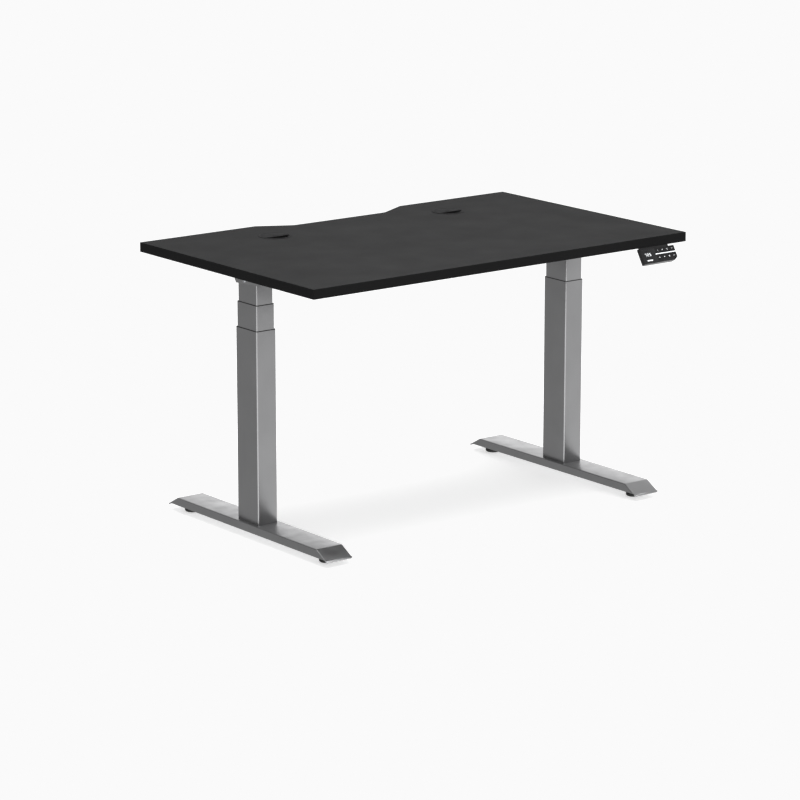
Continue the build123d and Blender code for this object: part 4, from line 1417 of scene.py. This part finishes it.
def solids_of(node: str) -> list[list[Vector]]:
    """Points of each separate solid in a CAD node.

    Args:
        node: the CAD node.

    Returns:
        One list of points for each solid, in order of place.
    """
    mesh = bmesh.new()
    mesh.from_mesh(frame["nodes"][node].data)
    bmesh.ops.remove_doubles(mesh, verts=mesh.verts, dist=DOUBLE_POINTS)
    left = set(mesh.verts)
    solids = []
    while left:
        found = {left.pop()}
        front = list(found)
        while front:
            for edge in front.pop().link_edges:
                for vertex in left.intersection(edge.verts):
                    left.discard(vertex)
                    found.add(vertex)
                    front.append(vertex)
        solids.append([vertex.co.copy() for vertex in found])
    mesh.free()
    return sorted(solids, key=lambda points: tuple(round(min(p[i] for p in points), 4) for i in range(3)))


def corners_of(points: Sequence[Vector]) -> tuple[Vector, Vector]:
    """Lowest and highest corner of a set of points.

    Args:
        points: the points.

    Returns:
        Both corners.
    """
    low, high = ([limit(p[i] for p in points) for i in range(3)] for limit in (min, max))
    return Vector(low), Vector(high)


NUT_FLATNESS = 0.8
RIM_SHARE = 0.97


@dataclass(frozen=True)
class BoltLine:
    """Where one screw sits: its head's seat, the way its head faces, and its shank's length."""

    seat: Vector
    outward: Vector
    length: float


def bolt_line(points: Sequence[Vector]) -> BoltLine | None:
    """Read a screw's line from the points of its solid.

    Args:
        points: points of one solid, a head on a shank along X or Z.

    Returns:
        The screw's line, or None where the solid is a nut.
    """
    low, high = corners_of(points)
    size = high - low
    axis = max(range(3), key=lambda i: size[i])
    centre = (low + high) / 2
    thin, wide, _ = sorted(size)
    if thin < NUT_FLATNESS * wide:
        return None

    def radial(point: Vector) -> float:
        """Distance from the screw's axis.

        Args:
            point: the point.

        Returns:
            Its distance.
        """
        off = point - centre
        off[axis] = 0
        return off.length

    widest = max(radial(point) for point in points)
    rim = [point[axis] for point in points if radial(point) > RIM_SHARE * widest]
    sign = 1 if sum(rim) / len(rim) > centre[axis] else -1
    seat_at = min(rim) if sign > 0 else max(rim)
    seat = centre.copy()
    seat[axis] = seat_at
    outward = Vector()
    outward[axis] = sign
    return BoltLine(seat, outward, seat_at - low[axis] if sign > 0 else high[axis] - seat_at)


@dataclass
class Fasteners:
    """Every screw, bolt and nut of the desk, with its shank and its driven head."""

    desk_head: ScrewHead
    frame_head: ScrewHead
    foot_head: ScrewHead
    desk_shank: float = 0.0025
    frame_shank: float = 0.003
    foot_shank: float = 0.004
    shank_steps: int = 16
    point: float = 0.0008

    def screw_set(self, node: str, head: ScrewHead, shank: float) -> list[Piece]:
        """Make every screw of a CAD node.

        Args:
            node: the CAD node.
            head: the screws' head.
            shank: radius of their shanks.

        Returns:
            The heads, joined, and each shank.
        """
        lines = [line for line in map(bolt_line, solids_of(node)) if line]
        pieces = [head.spread(f"{node}_heads", [(line.seat, line.outward) for line in lines])]
        for index, line in enumerate(lines):
            profile = [
                (0, 0), (shank, 0), (shank, line.length - self.point),
                (shank - self.point, line.length), (0, line.length),
            ]
            name = f"{node}_shank_{index}"
            pieces.append(turned(name, profile, line.seat, -line.outward, self.shank_steps))
        return pieces

    def nut(self, name: str, points: Sequence[Vector]) -> Piece:
        """Make one hexagon nut with chamfered corners and its bore.

        Args:
            name: the nut's name.
            points: points of its CAD solid.

        Returns:
            The nut.
        """
        low, high = corners_of(points)
        centre = (low + high) / 2
        size = high - low
        turn = (0, 0, pi / 6) if size.x > size.y else (0, 0, 0)
        nut = rod(name, max(size.x, size.y) / 2, size.z, centre, turn, 6)
        bore = rod(name + "_bore", self.foot_shank, 2 * size.z, centre, sides=24)
        return ease_edges(carve(nut, [bore]), self.point / 2, 2, 40.0)

    def build(self) -> None:
        """Make all the fasteners and put each set on its body."""
        desk = self.screw_set("desk_screws", self.desk_head, self.desk_shank)
        seat(joined("desk_screw_set", desk), "desk_screws", BLACK_BOLT)
        bolts = self.screw_set("frame_bolts", self.frame_head, self.frame_shank)
        seat(joined("frame_bolt_set", bolts), "frame_bolts")
        feet = self.screw_set("foot_hardware", self.foot_head, self.foot_shank)
        nuts = [points for points in solids_of("foot_hardware") if not bolt_line(points)]
        feet += [self.nut(f"foot_nut_{index}", points) for index, points in enumerate(nuts)]
        seat(joined("foot_bolt_set", feet), "foot_hardware")


# ----------------------------------------------------------------------------- frame


@dataclass
class Underframe:
    """Brackets, rails, drive heads and motors under the desktop."""

    fold_easing: float = 0.0004
    cast_easing: float = 0.0006
    can_steps: int = 64
    can_round: float = 0.002
    seam_start: float = 0.010
    seam_width: float = 0.0025
    seam_slope: float = 0.0005
    bell_length: float = 0.012
    bell_step: float = 0.001
    bell_drop: float = 0.0006
    groove: float = 0.0008
    boss_length: float = 0.005
    boss_curve: tuple[tuple[float, float], ...] = ((0.42, 0), (0.36, 0.6), (0.3, 1))
    plug_length: float = 0.020
    plug_width: float = 0.016
    plug_inset: float = 0.016
    plug_sunk: float = 0.001
    plug_wall: float = 0.0014
    plug_depth: float = 0.004
    plug_easing: float = 0.0005
    through_bolts: int = 2
    bolt_circle: float = 0.68
    bolt_head: ScrewHead = ScrewHead(radius=0.0028, height=0.0018, socket=0.0013, socket_depth=0.0009)

    def eased(self, node: str, name: str, width: float, merged: bool = True) -> None:
        """Put a softened copy of a node in its place.

        Args:
            node: the CAD node.
            name: the copy's name.
            width: width of the bevels.
            merged: whether flat areas become single faces first.
        """
        seat(softened_copy(node, width, name, 2, 50.0, merged), node)

    def can(self, side: str, radius: float, length: float, start: Point) -> Piece:
        """Turn a motor's can with its rolled seam, its end bell and the boss of its bearing.

        Args:
            side: left or right.
            radius: the can's radius.
            length: its length without the boss.
            start: middle of the end at the gear case.

        Returns:
            The can.
        """
        edge, seam, step = self.can_round, self.seam_start, self.bell_step
        bell, root, drop = length - self.bell_length, radius - self.groove, radius - self.bell_drop
        profile = [
            (0, 0), (radius - edge, 0), (radius - 0.3 * edge, 0.3 * edge), (radius, edge),
            (radius, seam), (root, seam + self.seam_slope),
            (root, seam + self.seam_width - self.seam_slope), (radius, seam + self.seam_width),
            (radius, bell - step), (root, bell), (root, bell + step), (drop, bell + 2 * step),
            (drop, length - edge), (drop - edge, length),
            *[(radius * share, length + self.boss_length * up) for share, up in self.boss_curve],
            (0, length + self.boss_length),
        ]
        return turned(f"can_{side}", profile, start, (-SIDES[side], 0, 0), self.can_steps)

    def plug(self, side: str, middle_x: float, middle_y: float, low: float, high: float) -> Piece:
        """Hollow out the plug under a motor.

        Args:
            side: left or right.
            middle_x: its middle along X.
            middle_y: its middle along Y.
            low: height of its mouth.
            high: height of its root, in the can.

        Returns:
            The plug.
        """
        size = (self.plug_length, self.plug_width, high - low)
        plug = block(f"plug_{side}", size, (middle_x, middle_y, (high + low) / 2))
        with editing(plug, Part.FACE):
            pick(plug, Part.FACE, lambda face: face.normal.z < -0.9)
            bpy.ops.mesh.inset(thickness=self.plug_wall)
            bpy.ops.mesh.extrude_region_move(TRANSFORM_OT_translate={"value": (0, 0, self.plug_depth)})
        return ease_edges(plug, self.plug_easing, 2)

    def motor(self, side: str) -> None:
        """Make a motor with its plug and its through bolts.

        Args:
            side: left or right.
        """
        node = f"motor_{side}"
        low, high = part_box(node)
        out = SIDES[side]
        start = high.x if out > 0 else low.x
        length = high.x - low.x - self.boss_length
        centre_y = (low.y + high.y) / 2
        radius = (high.y - low.y) / 2
        centre_z = high.z - radius
        body = self.can(side, radius, length, (start, centre_y, centre_z))
        plug_x = start - out * (length - self.plug_inset)
        plug = self.plug(side, plug_x, centre_y, low.z, centre_z - radius + self.plug_sunk)
        screws = []
        for index in range(self.through_bolts):
            turn = pi / 4 + index * 2 * pi / self.through_bolts
            across, up = (self.bolt_circle * radius * share for share in (cos(turn), sin(turn)))
            screws.append((Vector((start - out * length, centre_y + across, centre_z + up)), (-out, 0, 0)))
        heads = self.bolt_head.spread(f"motor_screws_{side}", screws)
        seat(joined(f"motor_body_{side}", [body, plug]), node)
        seat(heads, node, ZINC, replaces=False)

    def build(self) -> None:
        """Make both sides and both rails."""
        for side in SIDES:
            self.eased(f"side_bracket_{side}", f"folded_bracket_{side}", self.fold_easing)
            self.eased(f"drive_head_{side}", f"gear_case_{side}", self.cast_easing, merged=False)
            self.motor(side)
        for end in ENDS:
            self.eased(f"rail_{end}", f"cross_rail_{end}", self.fold_easing)


# ----------------------------------------------------------------------------- control box


@dataclass
class ControlBox:
    """Flat plastic box with sockets in its rear wall, vents in its floor and a lid with ears."""

    easing: float = 0.0006
    lid_easing: float = 0.0004
    vent_count: int = 9
    vent_length: float = 0.036
    vent_width: float = 0.0022
    vent_pitch: float = 0.006
    vent_depth: float = 0.0009
    sockets: tuple[str, ...] = ("mains_inlet", "motor_socket_a", "motor_socket_b", "keypad_socket")
    pins_each: int = 3
    pin_radius: float = 0.0011
    pin_length: float = 0.009
    pin_tip: float = 0.4

    def tray(self) -> None:
        """Ease the tray and sink a field of vent slots into its floor."""
        node = "control_box_tray"
        low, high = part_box(node)
        tray = softened_copy(node, self.easing, "control_box_case", 2, 40.0)
        size = (self.vent_width, self.vent_length, 2 * self.vent_depth)
        slots = []
        for index in range(self.vent_count):
            x = (index - (self.vent_count - 1) / 2) * self.vent_pitch
            centre = ((low.x + high.x) / 2 + x, (low.y + high.y) / 2, low.z)
            slots.append(block(f"slot_{index}", size, centre))
        seat(carve(tray, [joined("vent_slots", slots)]), node)

    def pins(self) -> None:
        """Stand contact pins in the sockets."""
        pins = []
        for opening in frame["record"]["physics"]["openings"]:
            if opening["name"] not in self.sockets:
                continue
            low, high = (Vector(corner) for corner in opening["box_m"])
            for index in range(self.pins_each):
                x = low.x + (high.x - low.x) * (index + 1) / (self.pins_each + 1)
                name = f"{opening['name']}_pin_{index}"
                centre = (x, low.y + self.pin_length / 2, (low.z + high.z) / 2)
                pin = rod(name, self.pin_radius, self.pin_length, centre, (pi / 2, 0, 0), 16)
                pins.append(ease_edges(pin, self.pin_radius * self.pin_tip, 2))
        seat(joined("socket_pins", pins), "control_box_tray", BRASS_PIN, replaces=False)

    def build(self) -> None:
        """Make the tray, its pins and the lid."""
        self.tray()
        self.pins()
        lid = softened_copy("control_box_lid", self.lid_easing, "control_box_cover", 2, 50.0)
        seat(lid, "control_box_lid")


# ----------------------------------------------------------------------------- keypad


class Mark(Enum):
    """Generic marks on the keys: four numbers, two arrows, a ring and a bar."""

    ONE = 1
    TWO = 2
    THREE = 3
    FOUR = 4
    UP = 5
    DOWN = 6
    RING = 7
    BAR = 8


SEGMENTS = {
    "0": "abcdef", "1": "bc", "2": "abged", "3": "abgcd", "4": "fgbc", "5": "afgcd",
    "6": "afgedc", "7": "abc", "8": "abcdefg", "9": "abcdfg",
}
SEGMENT_PLACES = {
    "a": (0.0, 1.0, True), "b": (0.5, 0.5, False), "c": (0.5, -0.5, False), "d": (0.0, -1.0, True),
    "e": (-0.5, -0.5, False), "f": (-0.5, 0.5, False), "g": (0.0, 0.0, True),
}


@dataclass
class Keypad:
    """Keypad under the front edge: housing, window with lit digits, and eight keys.

    The sizes of the marks, from figure_width on, are shares of mark_size.
    """

    tilt: float = 31.0
    reading: str = "725"
    digit_width: float = 0.0046
    digit_height: float = 0.0076
    stroke: float = 0.0011
    digit_pitch: float = 0.0077
    first_digit: tuple[float, float] = (0.0128, -0.0202)
    bar: tuple[float, float, float, float] = (0.0218, -0.0360, 0.018, 0.0026)
    stripe: tuple[float, float, float, float] = (0.0825, -0.0212, 0.072, 0.0020)
    mark_size: float = 0.0032
    print_rise: float = 0.00012
    housing_easing: float = 0.0005
    cover_easing: float = 0.0003
    key_easing: float = 0.0006
    bar_rounding: float = 0.2
    segment_gap: float = 0.4
    figure_width: float = 0.62
    figure_stroke: float = 0.2
    arrow_radius: float = 0.55
    arrow_rounding: float = 0.06
    ring_radius: float = 0.5
    ring_bore: float = 0.3
    bar_height: float = 0.28

    def corner(self) -> Vector:
        """Upper left corner of the keypad's face."""
        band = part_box("edge_band")[0]
        return Vector((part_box("keypad_housing")[0].x, band.y, band.z))

    def normal(self) -> Vector:
        """Direction that the face looks in."""
        return Vector((0, -cos(radians(self.tilt)), sin(radians(self.tilt))))

    def slope(self) -> Vector:
        """Direction up the face."""
        return Vector((0, sin(radians(self.tilt)), cos(radians(self.tilt))))

    def lean(self) -> tuple[float, float, float]:
        """Turn of a flat print that lies on the face."""
        return (radians(90 - self.tilt), 0, 0)

    def spot(self, u: float, v: float, rise: float = 0.0) -> Vector:
        """A point on the face.

        Args:
            u: distance to the right of the face's left edge.
            v: distance above the face's top edge, along its slope.
            rise: distance in front of the face.

        Returns:
            The point.
        """
        return self.corner() + Vector((u, 0, 0)) + self.slope() * v + self.normal() * rise

    def plate(self, name: str, u: float, v: float, width: float, height: float, rise: float = 0.0) -> Piece:
        """A thin printed bar on the face.

        Args:
            name: its name.
            u: its middle, to the right.
            v: its middle, up the slope.
            width: its width.
            height: its height.
            rise: height of the surface that it is printed on.

        Returns:
            The bar.
        """
        bar = block(name, (width, height, 2 * self.print_rise), self.spot(u, v, rise), self.lean())
        return ease_edges(bar, min(width, height) * self.bar_rounding, 2)

    def digit(
        self, name: str, figure: str, u: float, v: float, width: float, height: float, stroke: float,
        rise: float = 0.0,
    ) -> list[Piece]:
        """The lit segments of one figure.

        Args:
            name: start of the segments' names.
            figure: the figure, 0 to 9.
            u: its middle, to the right.
            v: its middle, up the slope.
            width: its width.
            height: its height.
            stroke: width of a segment.
            rise: height of the surface that it is on.

        Returns:
            The segments.
        """
        bars = []
        for letter in SEGMENTS[figure]:
            across, up, flat = SEGMENT_PLACES[letter]
            w, h = (width - stroke, stroke) if flat else (stroke, height / 2 - stroke * self.segment_gap)
            x = u + across * (width - stroke)
            y = v + up * (height - stroke) / 2
            bars.append(self.plate(f"{name}_{letter}", x, y, w, h, rise))
        return bars

    def window(self) -> None:
        """Lit reading, the bar below it and the light stripe between the key rows."""
        lit = []
        first_u, first_v = self.first_digit
        size = (self.digit_width, self.digit_height)
        for index, figure in enumerate(self.reading):
            u = first_u + index * self.digit_pitch
            lit += self.digit(f"figure_{index}", figure, u, first_v, *size, self.stroke)
        dot_u = first_u + 1.5 * self.digit_pitch
        dot_v = first_v - self.digit_height / 2 + self.stroke / 2
        lit.append(self.plate("decimal_point", dot_u, dot_v, self.stroke, self.stroke))
        lit.append(self.plate("status_bar", *self.bar))
        seat(joined("display_reading", lit), "keypad_display", WHITE_PRINT, replaces=False)
        stripe = self.plate("light_stripe", *self.stripe)
        seat(stripe, "keypad_housing", WHITE_PRINT, replaces=False)
        glass = softened_copy("keypad_display", self.cover_easing, "display_glass", 2, 50.0)
        seat(glass, "keypad_display")

    def mark(self, mark: Mark, name: str, place: Vector) -> Piece:
        """Print one key's mark.

        Args:
            mark: which mark.
            name: the print's name.
            place: middle of the key's outer face.

        Returns:
            The print.
        """
        size, rise, turn = self.mark_size, self.print_rise, self.lean()
        off = place - self.corner()
        u, v, lift = off.x, off.dot(self.slope()), off.dot(self.normal())
        if mark.value <= Mark.FOUR.value:
            width, stroke = size * self.figure_width, size * self.figure_stroke
            return joined(name, self.digit(name, str(mark.value), u, v, width, size, stroke, lift))
        if mark in (Mark.UP, Mark.DOWN):
            flip = pi if mark is Mark.DOWN else 0
            arrow = rod(name, size * self.arrow_radius, 2 * rise, (0, 0, 0), (0, 0, flip), 3)
            arrow.data.transform(Matrix.Translation(place) @ Matrix.Rotation(turn[0], 4, "X"))
            return ease_edges(arrow, size * self.arrow_rounding, 2)
        if mark is Mark.RING:
            ring = rod(name, size * self.ring_radius, 2 * rise, place, turn, 32)
            bore = rod(name + "_bore", size * self.ring_bore, 4 * rise, place, turn, 32)
            return carve(ring, [bore])
        return self.plate(name, u, v, size, size * self.bar_height, lift)

    def key(self, number: int) -> None:
        """Crown a key's edges and print its mark.

        Args:
            number: the key's number, 1 to 8.
        """
        node = f"key_{number}"
        seat(softened_copy(node, self.key_easing, f"key_cap_{number}", 4, 50.0), node)
        points = [vertex.co for vertex in frame["nodes"][node].data.vertices]
        front = max(point.dot(self.normal()) for point in points)
        centre = node_middle(node)
        place = centre + self.normal() * (front - centre.dot(self.normal()))
        seat(self.mark(Mark(number), f"key_mark_{number}", place), node, WHITE_PRINT, replaces=False)

    def build(self) -> None:
        """Make the housing, the window, the keys and the rear cover."""
        seat(softened_copy("keypad_housing", self.housing_easing, "keypad_case", 3, 40.0), "keypad_housing")
        seat(softened_copy("keypad_cover", self.cover_easing, "keypad_back", 2, 50.0), "keypad_cover")
        self.window()
        for mark in Mark:
            self.key(mark.value)


# ----------------------------------------------------------------------------- assembly


def main() -> None:
    """Build the studio and every sub-assembly, and report each piece."""
    logging.basicConfig(level=logging.INFO, format="%(message)s")
    Studio().build()
    Worktop().build()
    for side in SIDES:
        CableGrommet(side).build()
        LiftColumn(side).build()
        TFoot(side).build()
        for end in ENDS:
            LevellingPad(end, side).build()
    Fasteners(
        desk_head=ScrewHead(radius=0.005, height=0.0025, socket=0.0018, socket_sides=4),
        frame_head=ScrewHead(radius=0.0055, height=0.003, socket=0.0021),
        foot_head=ScrewHead(radius=0.0065, height=0.005, socket=0.0026, socket_depth=0.0028),
    ).build()
    Underframe().build()
    ControlBox().build()
    Keypad().build()
    for node in sorted(frame["nodes"]):
        if not frame["nodes"][node].hide_render:
            dress_node(node)
    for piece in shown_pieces():
        LOG.info("%s rides on %s", piece.name, ", ".join(body_of(piece)))


if __name__ == "__main__":
    main()
